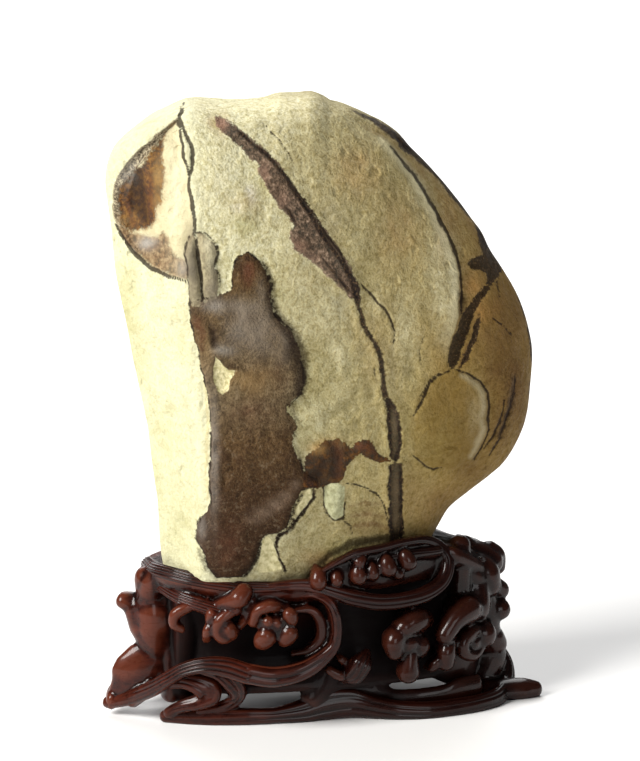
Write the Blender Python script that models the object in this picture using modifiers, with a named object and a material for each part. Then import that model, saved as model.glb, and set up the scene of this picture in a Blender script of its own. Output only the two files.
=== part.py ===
"""A scholar's rock in its carved hardwood stand.

Metres, +Z up. The stand's long axis lies along X and its front faces -Y.
The origin is at the middle of the stand's footprint, on the surface it stands on.
Lengths below are in millimetres and become metres when a mesh is made.
"""
import math

import bmesh
import bpy
import numpy as np
from mathutils import Vector, noise

MILLIMETRE = 0.001

# ---- The show side: the rock is drawn on an upright sheet that faces this eye ----
SHOW_TURN = math.radians(-15.0)
SHOW_RISE = math.radians(12.0)
EYE_DISTANCE = 1500.0
SHEET_AIM = 158.0

# ---- The rock ----
ROCK_CENTRE = (2.0, 178.0)
ROCK_FRONT_DEPTH = 51.0
ROCK_BACK_DEPTH = 48.0
ROCK_LEFT_FULLNESS = 3.5
ROCK_RIGHT_FULLNESS = 2.3
ROCK_GRID = 64
ROCK_FACES = 3600

# The rock's outline on the sheet, across and up, clockwise from the top left peak.
ROCK_OUTLINE = [
    (-65, 299), (-57, 298), (-45, 297), (-35, 297.5), (-27, 298.5), (-21, 300.5), (-10, 301),
    (-5, 302), (1, 300.5), (5, 298), (10, 297), (18, 294), (25, 290.5), (32, 287), (39, 282),
    (45, 275), (51, 269), (57, 262.5), (64, 254.5), (70, 247), (75, 240), (81, 232), (85, 223.5),
    (91, 214.5), (97, 204.5), (101, 195.5), (104.5, 183), (106, 172), (105, 156), (103, 141),
    (98, 128.5), (92, 119), (85, 113), (77, 106.5), (70, 101), (64, 95.5), (60, 89), (56, 82),
    (50, 73), (38, 64), (15, 57), (-15, 53), (-45, 53), (-66, 57), (-76, 63),
    (-78.5, 70), (-80, 83.5), (-81, 103), (-84, 123), (-86, 138.5), (-89, 153), (-92.5, 168.5),
    (-95.5, 186), (-98.5, 199.5), (-101, 211), (-102.5, 222), (-104, 236), (-105.5, 248),
    (-107, 259), (-106, 267.5), (-103.5, 274.5), (-100, 279), (-93, 285), (-85, 290.5),
    (-75, 295.5), (-70, 298)]

# The flat left face: where its far edge runs, and how steeply it comes forward.
FACE_TOP_HEIGHT = 265.0
FACE_TOP_ACROSS = -114.0
FACE_LEAN = 0.16
FACE_TOP_SLOPE = 1.0
FACE_SLOPE_GAIN = 0.0028
EDGE_SHARPNESS = 14.0

# Reliefs of the show side, drawn on the sheet.
FAN_HOLLOW = [
    (-71, 287), (-80, 281), (-90, 273.5), (-97.5, 266), (-103, 256), (-104, 246), (-102.5, 237),
    (-100, 231), (-92.5, 221.5), (-82.5, 213.5), (-72.5, 209), (-66, 209), (-67, 223), (-65, 241),
    (-67, 258), (-69.5, 273)]
BROWN_FIGURE = [
    (-44, 208), (-44.5, 213), (-41, 220), (-35, 222), (-29.5, 216), (-26, 208), (-25, 203),
    (-26.5, 197), (-23, 191), (-17.5, 184), (-13.5, 179), (-10.5, 173), (-8.5, 162), (-7.5, 156),
    (-10, 152), (-15, 147), (-17, 145), (-14.5, 139), (-11.5, 136), (-13.5, 128), (-11.5, 119),
    (-8.5, 112), (-10, 103), (-14, 96), (-17.5, 88), (-18.5, 82), (-21.5, 79), (-28, 82),
    (-31, 72), (-35.5, 63), (-42.5, 59), (-53.5, 61), (-57, 67), (-61, 74), (-62.5, 77),
    (-60.5, 86), (-56, 96), (-55.5, 108), (-55, 133), (-56, 148), (-59.5, 163), (-62, 176),
    (-64.5, 186), (-64.5, 192), (-58, 196), (-50, 203)]
FINGERS = [
    (-62.5, 232), (-66, 224), (-66, 196), (-61, 194), (-60, 205), (-55, 206), (-50.5, 204),
    (-52, 214), (-50.5, 221), (-54, 229)]
RIGHT_LEDGE = [
    (18, 287), (26, 279.5), (36, 272), (45, 261), (52, 252), (58, 241), (63.5, 228), (68, 218),
    (69.5, 208), (70, 193), (68, 186), (65, 173), (65, 164)]
LOWER_INSET = [
    (66, 162), (75, 159.5), (82, 152), (84.5, 142), (83, 132), (80, 121), (77, 117), (60, 114),
    (48, 118), (44, 132), (48, 146), (56, 156)]
MIDDLE_VEIN = [
    (-44, 287), (-36, 280), (-29, 275), (-22, 266), (-15, 256), (-10, 246), (-3, 237), (2, 228),
    (9, 218), (15, 208), (18, 202), (22, 185), (30, 169), (34, 150), (37, 142), (37, 118),
    (39, 80)]
FAN_DEPTH = 3.6
FIGURE_RAISE = 2.2
LEDGE_STEP = 3.0
LEDGE_FADE = (150.0, 190.0)
INSET_DEPTH = 1.4
VEIN_DEPTH = 2.0
VEIN_HALF_WIDTH = 3.2

# ---- The stand ----
BODY_HALF_LENGTH = 84.0
BODY_HALF_DEPTH = 40.0
BODY_SQUARENESS = 2.6
BODY_UNDERSIDE = 15.0
RIM_LOW = 71.0
RIM_LEFT_RISE = 5.0
RIM_RIGHT_RISE = 12.0
CUP_SETBACK = 7.0
SOCKET_GAP = 0.6
CARVING_GRAIN = 1.3
STAND_FACES = 5500
# The body's side, as set-back from the reference oval and share of the way up to the rim.
BODY_SIDE = [
    (-40, 0.0), (-8, 0.0), (-4, 0.04), (-7, 0.16), (-10, 0.32), (-10, 0.5), (-7, 0.66),
    (-3, 0.78), (2, 0.86), (4.5, 0.92), (4, 0.97), (1, 1.0), (-12, 1.0), (-40, 0.98)]

SHEET_RIGHT = np.array([math.cos(SHOW_TURN), math.sin(SHOW_TURN), 0.0])
TOWARD_EYE = np.array([math.sin(SHOW_TURN), -math.cos(SHOW_TURN), 0.0])
SHEET_UP = np.array([-math.sin(SHOW_TURN) * math.sin(SHOW_RISE),
                     math.cos(SHOW_TURN) * math.sin(SHOW_RISE), math.cos(SHOW_RISE)])
SHEET_OUT = np.cross(SHEET_RIGHT, SHEET_UP)
SHEET_MIDDLE = SHEET_AIM * SHEET_UP
EYE = SHEET_MIDDLE + EYE_DISTANCE * SHEET_OUT


# ---------------------------------------------------------------- the sheet
def sheet_place(points):
    """Where points of the object fall on the sheet, as across and up."""
    rays = points - EYE
    scale = EYE_DISTANCE / -(rays @ SHEET_OUT)
    return (rays @ SHEET_RIGHT) * scale, SHEET_AIM + (rays @ SHEET_UP) * scale


def onto_middle_plane(outline):
    """Sheet points carried along the sight lines onto the upright plane y = 0."""
    sheet = np.array(outline, float)
    places = (SHEET_MIDDLE + sheet[:, :1] * SHEET_RIGHT + (sheet[:, 1:] - SHEET_AIM) * SHEET_UP)
    rays = places - EYE
    reach = -EYE[1] / rays[:, 1]
    return EYE + rays * reach[:, None]


def smooth_path(points, steps, closed=False):
    """A Catmull-Rom curve through the points."""
    knots = np.array(points, float)
    if closed:
        knots = np.vstack([knots[-1:], knots, knots[:2]])
    else:
        knots = np.vstack([2 * knots[0] - knots[1], knots, 2 * knots[-1] - knots[-2]])
    share = (np.arange(steps) / steps)[:, None]
    runs = []
    for index in range(1, len(knots) - 2):
        before, start, end, after = knots[index - 1:index + 3]
        runs.append(0.5 * (2 * start + (end - before) * share
                           + (2 * before - 5 * start + 4 * end - after) * share ** 2
                           + (3 * start - before - 3 * end + after) * share ** 3))
    if not closed:
        runs.append(knots[-2:-1])
    return np.vstack(runs)


def distance_to_line(across, up, line):
    """Distance from each place to an open line."""
    best = np.full(across.shape, 1e9)
    for (x0, y0), (x1, y1) in zip(line[:-1], line[1:]):
        run_x, run_y = x1 - x0, y1 - y0
        share = ((across - x0) * run_x + (up - y0) * run_y) / (run_x ** 2 + run_y ** 2)
        share = np.clip(share, 0.0, 1.0)
        best = np.minimum(best, np.hypot(across - x0 - share * run_x, up - y0 - share * run_y))
    return best


def depth_inside(across, up, outline):
    """Distance inside a closed outline; negative outside it."""
    ring = list(outline) + [outline[0]]
    inside = np.zeros(across.shape, bool)
    for (x0, y0), (x1, y1) in zip(ring[:-1], ring[1:]):
        if y0 == y1:
            continue
        crosses = (up >= min(y0, y1)) & (up < max(y0, y1))
        inside ^= crosses & (across < x0 + (up - y0) * (x1 - x0) / (y1 - y0))
    return np.where(inside, 1.0, -1.0) * distance_to_line(across, up, ring)


def ease(value, start, end):
    share = np.clip((value - start) / (end - start), 0.0, 1.0)
    return share * share * (3.0 - 2.0 * share)


# ---------------------------------------------------------------- the rock
def rock_reach(angles):
    """The rock's half-width from its centre at each angle round the outline."""
    edge = onto_middle_plane(smooth_path(ROCK_OUTLINE, 6, closed=True))
    across = edge[:, 0] - ROCK_CENTRE[0]
    up = edge[:, 2] - ROCK_CENTRE[1]
    around = np.arctan2(up, across)
    order = np.argsort(around)
    return np.interp(angles, around[order], np.hypot(across, up)[order], period=2 * math.pi)


def lumps(points, size, seed):
    """Smooth seeded noise, about -1 to 1."""
    shift = Vector((seed * 17.3, seed * 5.1, seed * 9.7))
    return np.array([noise.noise(Vector(point) / size + shift) for point in points])


def rock_points(ways):
    """The rock's surface in millimetres, for unit directions from its centre."""
    flat = np.hypot(ways[:, 0], ways[:, 2])
    angles = np.arctan2(ways[:, 2], ways[:, 0])
    lean = ease(ways[:, 0], -0.4, 0.6)
    fullness = ROCK_LEFT_FULLNESS + (ROCK_RIGHT_FULLNESS - ROCK_LEFT_FULLNESS) * lean
    share = flat ** (2.0 / fullness)
    deep = np.abs(ways[:, 1]) ** (2.0 / fullness)
    front = ways[:, 1] < 0
    forward = deep * np.where(front, ROCK_FRONT_DEPTH, ROCK_BACK_DEPTH)
    reach = rock_reach(angles) * share
    across = ROCK_CENTRE[0] + reach * np.cos(angles)
    up = ROCK_CENTRE[1] + reach * np.sin(angles)
    below_top = FACE_TOP_HEIGHT - up
    face = ((FACE_TOP_SLOPE + FACE_SLOPE_GAIN * below_top)
            * (across - FACE_TOP_ACROSS - FACE_LEAN * below_top))
    face = np.maximum(face, 1e-3)
    cut = (np.maximum(forward, 1e-6) ** -EDGE_SHARPNESS + face ** -EDGE_SHARPNESS) \
        ** (-1.0 / EDGE_SHARPNESS)
    forward = np.where(front, cut, -forward)
    points = np.stack([across, np.zeros_like(across), up], 1) + forward[:, None] * TOWARD_EYE
    return points, forward


def front_relief(points, forward):
    """How far the show side stands out of, or sinks into, the smooth rock."""
    across, up = sheet_place(points)
    relief = -FAN_DEPTH * ease(depth_inside(across, up, FAN_HOLLOW), -0.5, 2.5) * ease(forward, 8.0, 26.0)
    figure = np.maximum(depth_inside(across, up, BROWN_FIGURE),
                        depth_inside(across, up, FINGERS))
    relief += FIGURE_RAISE * ease(figure, -1.0, 3.0)
    ledge = distance_to_line(across, up, RIGHT_LEDGE)
    outside = depth_inside(across, up, RIGHT_LEDGE + [(-40, 164), (-40, 287)]) < 0
    step_down = ease(ledge, 0.0, 3.0) * (1 - ease(ledge, 6, 26)) * ease(up, *LEDGE_FADE)
    relief -= LEDGE_STEP * np.where(outside, step_down, 0.0)
    relief -= INSET_DEPTH * ease(depth_inside(across, up, LOWER_INSET), -1.0, 2.5)
    vein = distance_to_line(across, up, MIDDLE_VEIN)
    relief -= VEIN_DEPTH * (1 - ease(vein, 0.0, VEIN_HALF_WIDTH))
    return relief * ease(forward, 4.0, 14.0)


def make_rock():
    bpy.ops.mesh.primitive_cube_add(size=2.0)
    rock = bpy.context.object
    rock.name = rock.data.name = "stone"
    shape = bmesh.new()
    shape.from_mesh(rock.data)
    bmesh.ops.subdivide_edges(shape, edges=shape.edges, cuts=ROCK_GRID - 1, use_grid_fill=True)
    corners = np.array([vertex.co for vertex in shape.verts])
    ways = np.tan(corners * math.pi / 4)
    ways /= np.linalg.norm(ways, axis=1)[:, None]
    points, forward = rock_points(ways)
    centre = np.array([ROCK_CENTRE[0], 0.0, ROCK_CENTRE[1]])
    swell = 2.2 * lumps(points, 55.0, 1) + 1.1 * lumps(points, 22.0, 2) + 0.5 * lumps(points, 9.0, 3)
    depth = np.clip(np.abs(forward) / 30.0, 0.1, 1.0)
    points = points + (points - centre) / 100.0 * (swell * depth)[:, None]
    points = points + front_relief(points, forward)[:, None] * TOWARD_EYE
    for vertex, point in zip(shape.verts, points):
        vertex.co = Vector(point) * MILLIMETRE
    shape.to_mesh(rock.data)
    shape.free()
    thin = rock.modifiers.new("fewer faces", "DECIMATE")
    thin.ratio = ROCK_FACES / (len(rock.data.polygons) * 2)
    bake(rock)
    rock.data.shade_smooth()
    return rock


# ---------------------------------------------------------------- the stand
def rim_height(x, y):
    front = (RIM_LOW + RIM_LEFT_RISE * ease(-x, 40.0, 84.0) + RIM_RIGHT_RISE * ease(x, -18.0, 18.0)
             - RIM_RIGHT_RISE * ease(x, 56.0, 82.0))
    back = RIM_LOW + 3.0 + 5.0 * ease(x, -20.0, 30.0) - 7.0 * ease(x, 50.0, 82.0)
    return front + (back - front) * ease(y, -15.0, 20.0)


def oval_point(angle, inset):
    """A point of the body's oval, moved out by inset."""
    power = 2.0 / BODY_SQUARENESS
    x = (BODY_HALF_LENGTH + inset) * math.copysign(abs(math.cos(angle)) ** power, math.cos(angle))
    y = (BODY_HALF_DEPTH + inset) * math.copysign(abs(math.sin(angle)) ** power, math.sin(angle))
    return x, y


def wall_facing(x, y):
    """The way the body's wall faces at a place on it."""
    power = BODY_SQUARENESS - 1.0
    out = Vector((math.copysign(abs(x / BODY_HALF_LENGTH) ** power / BODY_HALF_LENGTH, x),
                  math.copysign(abs(y / BODY_HALF_DEPTH) ** power / BODY_HALF_DEPTH, y), 0.0))
    return out.normalized()


def make_body():
    """The stand's body: a ring of upright profiles round an oval, closed below and above."""
    bpy.ops.mesh.primitive_cylinder_add(vertices=96, radius=1.0, depth=2.0, end_fill_type="NGON")
    body = bpy.context.object
    shape = bmesh.new()
    shape.from_mesh(body.data)
    upright = [edge for edge in shape.edges if abs(edge.verts[0].co.z - edge.verts[1].co.z) > 1.0]
    bmesh.ops.subdivide_edges(shape, edges=upright, cuts=len(BODY_SIDE) - 2)
    for vertex in shape.verts:
        row = round((vertex.co.z + 1.0) / 2.0 * (len(BODY_SIDE) - 1))
        inset, share = BODY_SIDE[row]
        angle = math.atan2(vertex.co.y, vertex.co.x)
        x, y = oval_point(angle, 0.0)
        cup = ease(x, -4.0, 12.0) * (1 - ease(x, 44.0, 58.0)) * ease(-y, 10.0, 30.0) * ease(share, 0.6, 0.8)
        x, y = oval_point(angle, max(inset, -36.0) * (1 - cup) + min(inset, -CUP_SETBACK) * cup)
        top = rim_height(x, y)
        vertex.co = Vector((x, y, BODY_UNDERSIDE + share * (top - BODY_UNDERSIDE)))
    shape.to_mesh(body.data)
    shape.free()
    return body


def at_stations(value, count):
    """A width given once, or at even steps along a route, at each station."""
    values = np.atleast_1d(np.array(value, float))
    return np.interp(np.linspace(0, 1, count), np.linspace(0, 1, len(values)), values)


def make_band(route, wide, thick, lean=0.0, deep=0.0, facing=None, sides=12):
    """A closed ribbon along a route: wide along the wall, thick out of it, rounded at its ends.

    lean turns its face upward, 1 being straight up; deep carries its back further in.
    It faces as the wall does, unless facing gives it a way of its own.
    """
    path = smooth_path(route, 6)
    count = len(path)
    wide, thick = at_stations(wide, count), at_stations(thick, count)
    lean, deep = at_stations(lean, count), at_stations(deep, count)
    stations = []
    for index, place in enumerate(path):
        along = Vector(path[min(index + 1, count - 1)] - path[max(index - 1, 0)]).normalized()
        out = wall_facing(place[0], place[1]) * (1 - lean[index]) + Vector((0, 0, lean[index]))
        if facing:
            out = Vector(facing)
        out = (out - along * out.dot(along)).normalized()
        side = along.cross(out)
        middle = Vector(place) - out * (deep[index] / 2)
        stations.append((middle, along, side, out, wide[index] / 2, (thick[index] + deep[index]) / 2))
    first, last = stations[0], stations[-1]
    rows = []
    for turn in (80, 50, 20):
        rows.append(cap_row(first, math.radians(turn), -1))
    rows += [(middle, side * half_wide, out * half_thick)
             for middle, along, side, out, half_wide, half_thick in stations]
    for turn in (20, 50, 80):
        rows.append(cap_row(last, math.radians(turn), 1))
    shape = bmesh.new()
    rings = []
    for middle, side, out in rows:
        rings.append([shape.verts.new(middle + side * math.cos(turn) + out * math.sin(turn))
                      for turn in (2 * math.pi * step / sides for step in range(sides))])
    for ring, following in zip(rings[:-1], rings[1:]):
        for step in range(sides):
            after = (step + 1) % sides
            shape.faces.new((ring[step], ring[after], following[after], following[step]))
    shape.faces.new(reversed(rings[0]))
    shape.faces.new(rings[-1])
    bmesh.ops.recalc_face_normals(shape, faces=shape.faces)
    mesh = bpy.data.meshes.new("band")
    shape.to_mesh(mesh)
    shape.free()
    band = bpy.data.objects.new("band", mesh)
    bpy.context.scene.collection.objects.link(band)
    return band


def cap_row(station, turn, direction):
    """One ring of a band's rounded end."""
    middle, along, side, out, half_wide, half_thick = station
    reach = min(half_wide, half_thick) * math.sin(turn) * direction
    return middle + along * reach, side * half_wide * math.cos(turn), out * half_thick * math.cos(turn)


def make_knob(route, radius, deep=(6.0, 3.0)):
    """A rounded finger of the carving, thick as given along its route and rooted in the wall."""
    diameter = np.atleast_1d(np.array(radius, float)) * 2
    return make_band(route, diameter, diameter, deep=deep)


def rim_route(start, end, inset, drop):
    """Points along the rim between two angles in degrees, below its top by drop."""
    route = []
    for angle in np.linspace(math.radians(start), math.radians(end), 12):
        x, y = oval_point(angle, inset)
        route.append((x, y, rim_height(x, y) - drop))
    return route


def half_turned(route):
    return [(-x, -y, z) for x, y, z in route]


def front_waves():
    """Waves, curls and knobs of the middle of the front."""
    scoop = [(-22, -40, 66), (-15, -44, 67), (-9, -48, 64), (-6, -50, 58), (-5, -50, 49),
             (-7, -50, 41), (-15, -50, 34), (-24, -50, 30), (-36, -48, 28), (-48, -46, 30)]
    yield make_band(scoop, [4, 5, 5, 5, 5, 6, 8, 9, 10, 10], 4.5, 0.15,
                    [8, 8, 9, 9, 9, 12, 14, 14, 12, 10])
    upper_wave = [(8, -28, 85), (20, -30, 87), (33, -31, 88), (42, -32, 88), (50, -33, 84),
                  (55, -35, 77), (52, -39, 68), (43, -43, 63), (31, -46, 61), (18, -47, 61),
                  (5, -47, 64), (-7, -46, 68), (-17, -44, 71), (-27, -43, 71.5), (-36, -40, 71)]
    yield make_band(upper_wave, [3, 4, 5, 6, 6, 6, 7, 7, 8, 8, 8, 7, 7, 6, 4], 4.5, 0.2, 12)
    yield make_band([(18, -30, 79), (30, -32, 79), (42, -33, 77), (50, -35, 71)], [14, 16, 16, 12], 4)
    for route, radius in (
            ([(-13, -36, 72), (-13, -43, 76)], [2.8, 3.8]),
            ([(-3, -36, 71), (-3, -41, 75)], [2.8, 3.8]),
            ([(8, -33, 78), (8, -41, 83)], [2.8, 4.2]),
            ([(8, -35, 72), (8, -43, 76)], [2.6, 3.6]),
            ([(15, -34, 73), (15, -41, 77)], [2.6, 3.2]),
            ([(22, -34, 75), (22, -41, 79)], [2.8, 4.2]),
            ([(33, -34, 76), (33, -40, 80)], [2.8, 4.0]),
            ([(-70, -32, 62), (-75, -32, 61), (-80, -31, 57), (-80, -31, 52), (-76, -31, 50)], 2.4),
            ([(-62, -36, 62), (-56, -41, 65), (-52, -43, 67), (-49, -42, 70)], [2.8, 3.6, 4.6, 4.2]),
            ([(-62, -34, 60), (-64, -39, 59)], [2.4, 3.0]),
            ([(-63, -36, 57), (-66, -39, 51), (-66, -36, 46)], [2.2, 2.8, 2.4]),
            ([(-50, -40, 61), (-56, -42, 60), (-61, -42, 55), (-61, -41, 50), (-56, -40, 48)], 2.5),
            ([(-56, -34, 53), (-57, -41, 52)], [2.8, 3.4]),
            ([(-50, -38, 52), (-46, -42, 60), (-44, -39, 70)], 2.8),
            ([(-31, -44, 61), (-37, -47, 63), (-43, -46, 61), (-45, -43, 54)], 2.5),
            ([(-36, -40, 57), (-38, -46, 55)], [2.8, 3.4]),
            ([(-37, -40, 50), (-39, -46, 48)], [3.2, 4.4]),
            ([(-28, -42, 60), (-28, -49, 59)], [2.8, 3.6]),
            ([(-27, -41, 50), (-28, -47, 49)], [3.0, 4.0]),
            ([(41, -41, 53), (33, -46, 56), (25, -48, 54), (21, -49, 47), (21, -49, 40)],
             [3.8, 4.4, 4.0, 3.4, 4.0]),
            ([(43, -41, 45), (34, -46, 48), (27, -48, 43)], [3.8, 4.8, 3.6]),
            ([(37, -42, 43), (32, -46, 37), (29, -47, 28)], [3.0, 3.8, 5.6]),
            ([(41, -36, 37), (41, -42, 36)], [2.8, 3.4])):
        yield make_knob(route, radius)
    yield make_band([(-5, -42, 29), (0, -44, 34), (4, -45, 40), (7, -43, 45)], [6, 13, 13, 5], [6, 9, 9, 5])


def left_end():
    """The tall knob, its side knob and the folded leaf foot below them."""
    yield make_knob([(-84, -5, 24), (-85, -5, 34), (-88, -5, 47), (-89, -5, 57), (-90, -4, 68)],
                    [6.0, 5.4, 6.4, 6.2, 5.0], deep=4)
    yield make_knob([(-88, -2, 54), (-94, 0, 54), (-99, 0, 56)], [7.0, 5.2, 3.4], deep=2)
    yield make_knob([(-89, -5, 72), (-84, -9, 74), (-79, -14, 73)], [3.2, 3.0, 3.0])
    yield make_band([(-83, -7, 36), (-89, -8, 29), (-96, -7, 22), (-101, -5, 15), (-105, -2, 9)],
                    [12, 17, 21, 19, 11], 7, facing=(-0.45, -0.8, 0.35))
    yield make_band([(-48, -46, 30), (-58, -42, 33), (-68, -38, 33.5), (-77, -33, 30.5), (-84, -28, 25),
                     (-90, -20, 18), (-96, -11, 12), (-102, -4, 8), (-107, 1, 6)],
                    [10, 10, 8, 7, 7, 8, 8, 7, 6.5], 5, 0.25, [10, 8, 8, 6, 4, 2, 0, 0, 0])
    yield make_band([(-106, -1, 7), (-104, 6, 9), (-98, 10, 15), (-90, 10, 24), (-82, 8, 32)],
                    [9, 10, 11, 12, 12], 6)
    yield make_band([(-78, -6, 10), (-79, -5, 22), (-80, -5, 36), (-81, -5, 52), (-82, -6, 67)],
                    [18, 18, 14, 13, 13], 8)


def lower_scrolls():
    """The scroll at the front left, the front rail and the right end's base wave."""
    yield make_band([(-97, -8, 9), (-90, -14, 16), (-86, -20, 19.5), (-81, -25, 22), (-76, -28, 23),
                     (-70, -30, 22), (-65, -31, 19.5), (-64, -30, 16), (-68, -28, 12.5),
                     (-74, -25, 10), (-78, -22, 7.5), (-81, -20, 5)],
                    [8, 8, 8, 7, 7.5, 9, 13, 13, 11, 9, 8, 7], 5, 0.3)
    yield make_band([(-68, -37, 31), (-61, -38, 28), (-56, -38, 23), (-52, -35, 17), (-53, -31, 12),
                     (-59, -28, 8), (-67, -25, 6)],
                    [7, 7, 8, 8, 8, 8, 7], 5, [0.1, 0.15, 0.2, 0.3, 0.4, 0.5, 0.5])
    yield make_band([(-82, -17, 2.6), (-72, -22, 3.2), (-60, -27, 3.6), (-46, -31, 3.6),
                     (-32, -33, 3.6), (-18, -34, 5), (-6, -34, 8), (6, -35, 8), (16, -38, 5.5),
                     (28, -42, 4), (42, -44, 3.4), (56, -43, 3.4), (70, -40, 3.4), (82, -33, 3.4),
                     (91, -21, 6), (93, -15, 13), (90, -13, 20), (84, -12, 27)],
                    [7, 9, 10, 9, 8, 12, 17, 16, 12, 10, 9, 9, 9, 10, 11, 11, 10, 9], 6, 0.15)
    yield make_band([(8, -33, 10), (18, -35, 10), (27, -37, 7), (40, -38, 6.5), (54, -38, 7),
                     (63, -37, 10), (72, -34, 11)], [16, 16, 12, 11, 12, 16, 18], 6)
    yield make_band([(-12, -34, 8), (-6, -33, 15), (-2, -32, 22)], [18, 20, 18], 7)
    yield make_band([(54, -33, 22), (66, -32, 20), (77, -27, 20), (84, -17, 21), (86, -4, 22),
                     (85, 8, 23)], [14, 22, 26, 26, 22, 16], 6, -0.1, 6)
    yield make_band([(80, -26, 4.4), (90, -26, 4.8), (98, -26, 4.4), (104, -26, 3.2)],
                    [13, 12, 12, 8], 10, 0.5)


def right_end():
    """Knobs and fingers that bunch at the right end."""
    for route, radius in (
            ([(64, -30, 58), (64, -30, 70), (64, -27, 81)], [4.6, 4.6, 5.0]),
            ([(72, -14, 73), (80, -12, 72), (86, -13, 68)], [5.0, 5.6, 5.0]),
            ([(74, -19, 71), (79, -22, 66), (81, -22, 60)], [5.0, 6.0, 5.6]),
            ([(66, -8, 76), (72, -12, 77)], [4.6, 4.4]),
            ([(75, -20, 45), (83, -21, 44), (88, -22, 45)], [4.6, 4.4, 4.6]),
            ([(70, -31, 54), (63, -37, 56), (56, -42, 52), (50, -44, 46), (46, -45, 39)],
             [5.2, 6.2, 5.0, 4.2, 3.8]),
            ([(57, -39, 42), (53, -43, 35), (51, -43, 28)], [3.6, 4.4, 4.8]),
            ([(47, -39, 28), (47, -44, 27)], [2.4, 2.6]),
            ([(72, -32, 43), (65, -38, 44), (60, -41, 39), (62, -40, 34), (69, -35, 31)],
             [3.2, 3.0, 2.8, 2.6, 2.6]),
            ([(73, -26, 37), (74, -33, 36)], [4.6, 6.2]),
            ([(80, -12, 30), (88, -14, 31), (89, -15, 25)], [5.0, 5.6, 5.2]),
            ([(78, -20, 54), (82, -20, 42), (84, -18, 28)], [4.5, 5.0, 5.0])):
        yield make_knob(route, radius)


def back_waves():
    """The hidden side: the same waves, half turned, with its own feet."""
    scoop = [(22, 40, 64), (15, 44, 65), (9, 47, 62), (5, 49, 56), (4, 49, 48), (7, 49, 40),
             (15, 49, 34), (25, 48, 31), (37, 46, 29), (48, 44, 31), (58, 41, 32), (68, 36, 28),
             (76, 30, 20), (79, 26, 11), (75, 27, 5), (65, 33, 4), (53, 37, 4)]
    yield make_band(scoop, [4, 5, 5, 5, 6, 7, 9, 10, 10, 9, 9, 9, 9, 9, 9, 8, 6], 5, 0.15,
                    [8, 8, 9, 9, 9, 12, 14, 14, 12, 10, 9, 8, 4, 2, 0, 0, 0])
    left_foot = [(-36, 42, 33), (-50, 42, 32), (-62, 38, 27), (-70, 33, 19), (-74, 30, 11),
                 (-69, 31, 5), (-58, 35, 4), (-47, 38, 4)]
    yield make_band(left_foot, [7, 10, 9, 9, 9, 9, 8, 6], 5, 0.15, [10, 10, 10, 8, 3, 0, 0, 0])
    upper_wave = half_turned([(36, -33, 76), (48, -33, 75), (56, -35, 69), (52, -39, 62),
                              (40, -43, 58), (26, -45, 57), (12, -46, 60), (-2, -45, 64)])
    yield make_band(upper_wave, [5, 6, 6, 7, 8, 8, 7, 6], 4.5, 0.2, 8)
    for route, radius in (
            ([(64, 36, 60), (63, 39, 55)], [3.6, 4.6]),
            ([(60, 37, 57), (62, 40, 48)], [3.6, 5.0]),
            ([(53, 39, 60), (57, 41, 55), (56, 41, 46)], [3.6, 4.2, 5.0]),
            ([(33, 43, 60), (38, 46, 54), (38, 46, 46)], [4.0, 5.4, 4.8]),
            ([(24, 44, 61), (27, 47, 56), (28, 46, 47)], [3.6, 5.0, 4.2]),
            ([(-6, 41, 68), (-3, 44, 72)], [3.8, 4.6]),
            ([(-17, 41, 68), (-15, 44, 73)], [3.8, 4.6]),
            ([(-28, 40, 68), (-25, 43, 74)], [4.0, 4.8]),
            ([(-39, 41, 52), (-32, 45, 53), (-25, 47, 47), (-22, 48, 39)], [4.2, 5.6, 5.0, 5.4]),
            ([(-55, 38, 52), (-50, 42, 48), (-50, 42, 40)], [4.2, 5.0, 5.0]),
            ([(-4, 40, 42), (-5, 43, 36), (-5, 42, 29)], [4.0, 6.0, 4.6]),
            ([(76, 18, 66), (83, 17, 62)], [5.0, 5.4]),
            ([(76, 20, 50), (84, 18, 46), (84, 17, 38)], [4.6, 5.4, 5.2]),
            ([(-74, 24, 58), (-79, 24, 53)], [4.6, 5.2]),
            ([(-74, 24, 44), (-78, 24, 38)], [4.6, 5.0])):
        yield make_knob(route, radius)


def rim_lips():
    """The rolled lips that run round the rim."""
    yield make_band(rim_route(176, 262, 2.0, 3.5), [7, 8, 8, 8, 7, 6], 5, 0.5, 3)
    yield make_band(rim_route(262, 300, 1.0, 3.5), [6, 6, 5], 4.5, 0.5, 3)
    yield make_band(rim_route(20, 172, 2.0, 3.5), [5, 7, 7, 7, 6], 5, 0.5, 3)
    second = [(-83, -13, 67), (-77, -27, 65), (-68, -35, 62.5), (-59, -39, 60), (-53, -42, 62)]
    yield make_band(second, [6, 7, 7, 7, 8], 4.5, 0.3, 5)


def bake(item):
    """The item's mesh, as its modifiers leave it."""
    bpy.context.view_layer.update()
    evaluated = item.evaluated_get(bpy.context.evaluated_depsgraph_get())
    mesh = bpy.data.meshes.new_from_object(evaluated)
    item.modifiers.clear()
    item.data = mesh
    mesh.name = item.name


def make_cutter(name, mesh, cutters):
    cutter = bpy.data.objects.new(name, mesh)
    cutters.objects.link(cutter)
    cutter.hide_render = True
    cutter.display_type = "WIRE"
    return cutter


def merge_sole(item):
    """Where the item stands on the floor, each contact patch becomes one flat face."""
    shape = bmesh.new()
    shape.from_mesh(item.data)
    sole = [face for face in shape.faces if max(abs(vertex.co.z) for vertex in face.verts) < 1e-6]
    inner = {edge for face in sole for edge in face.edges
             if all(neighbour in sole for neighbour in edge.link_faces)}
    bmesh.ops.dissolve_edges(shape, edges=list(inner), use_verts=True)
    bmesh.ops.triangulate(shape, faces=shape.faces)
    shape.to_mesh(item.data)
    shape.free()


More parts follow.
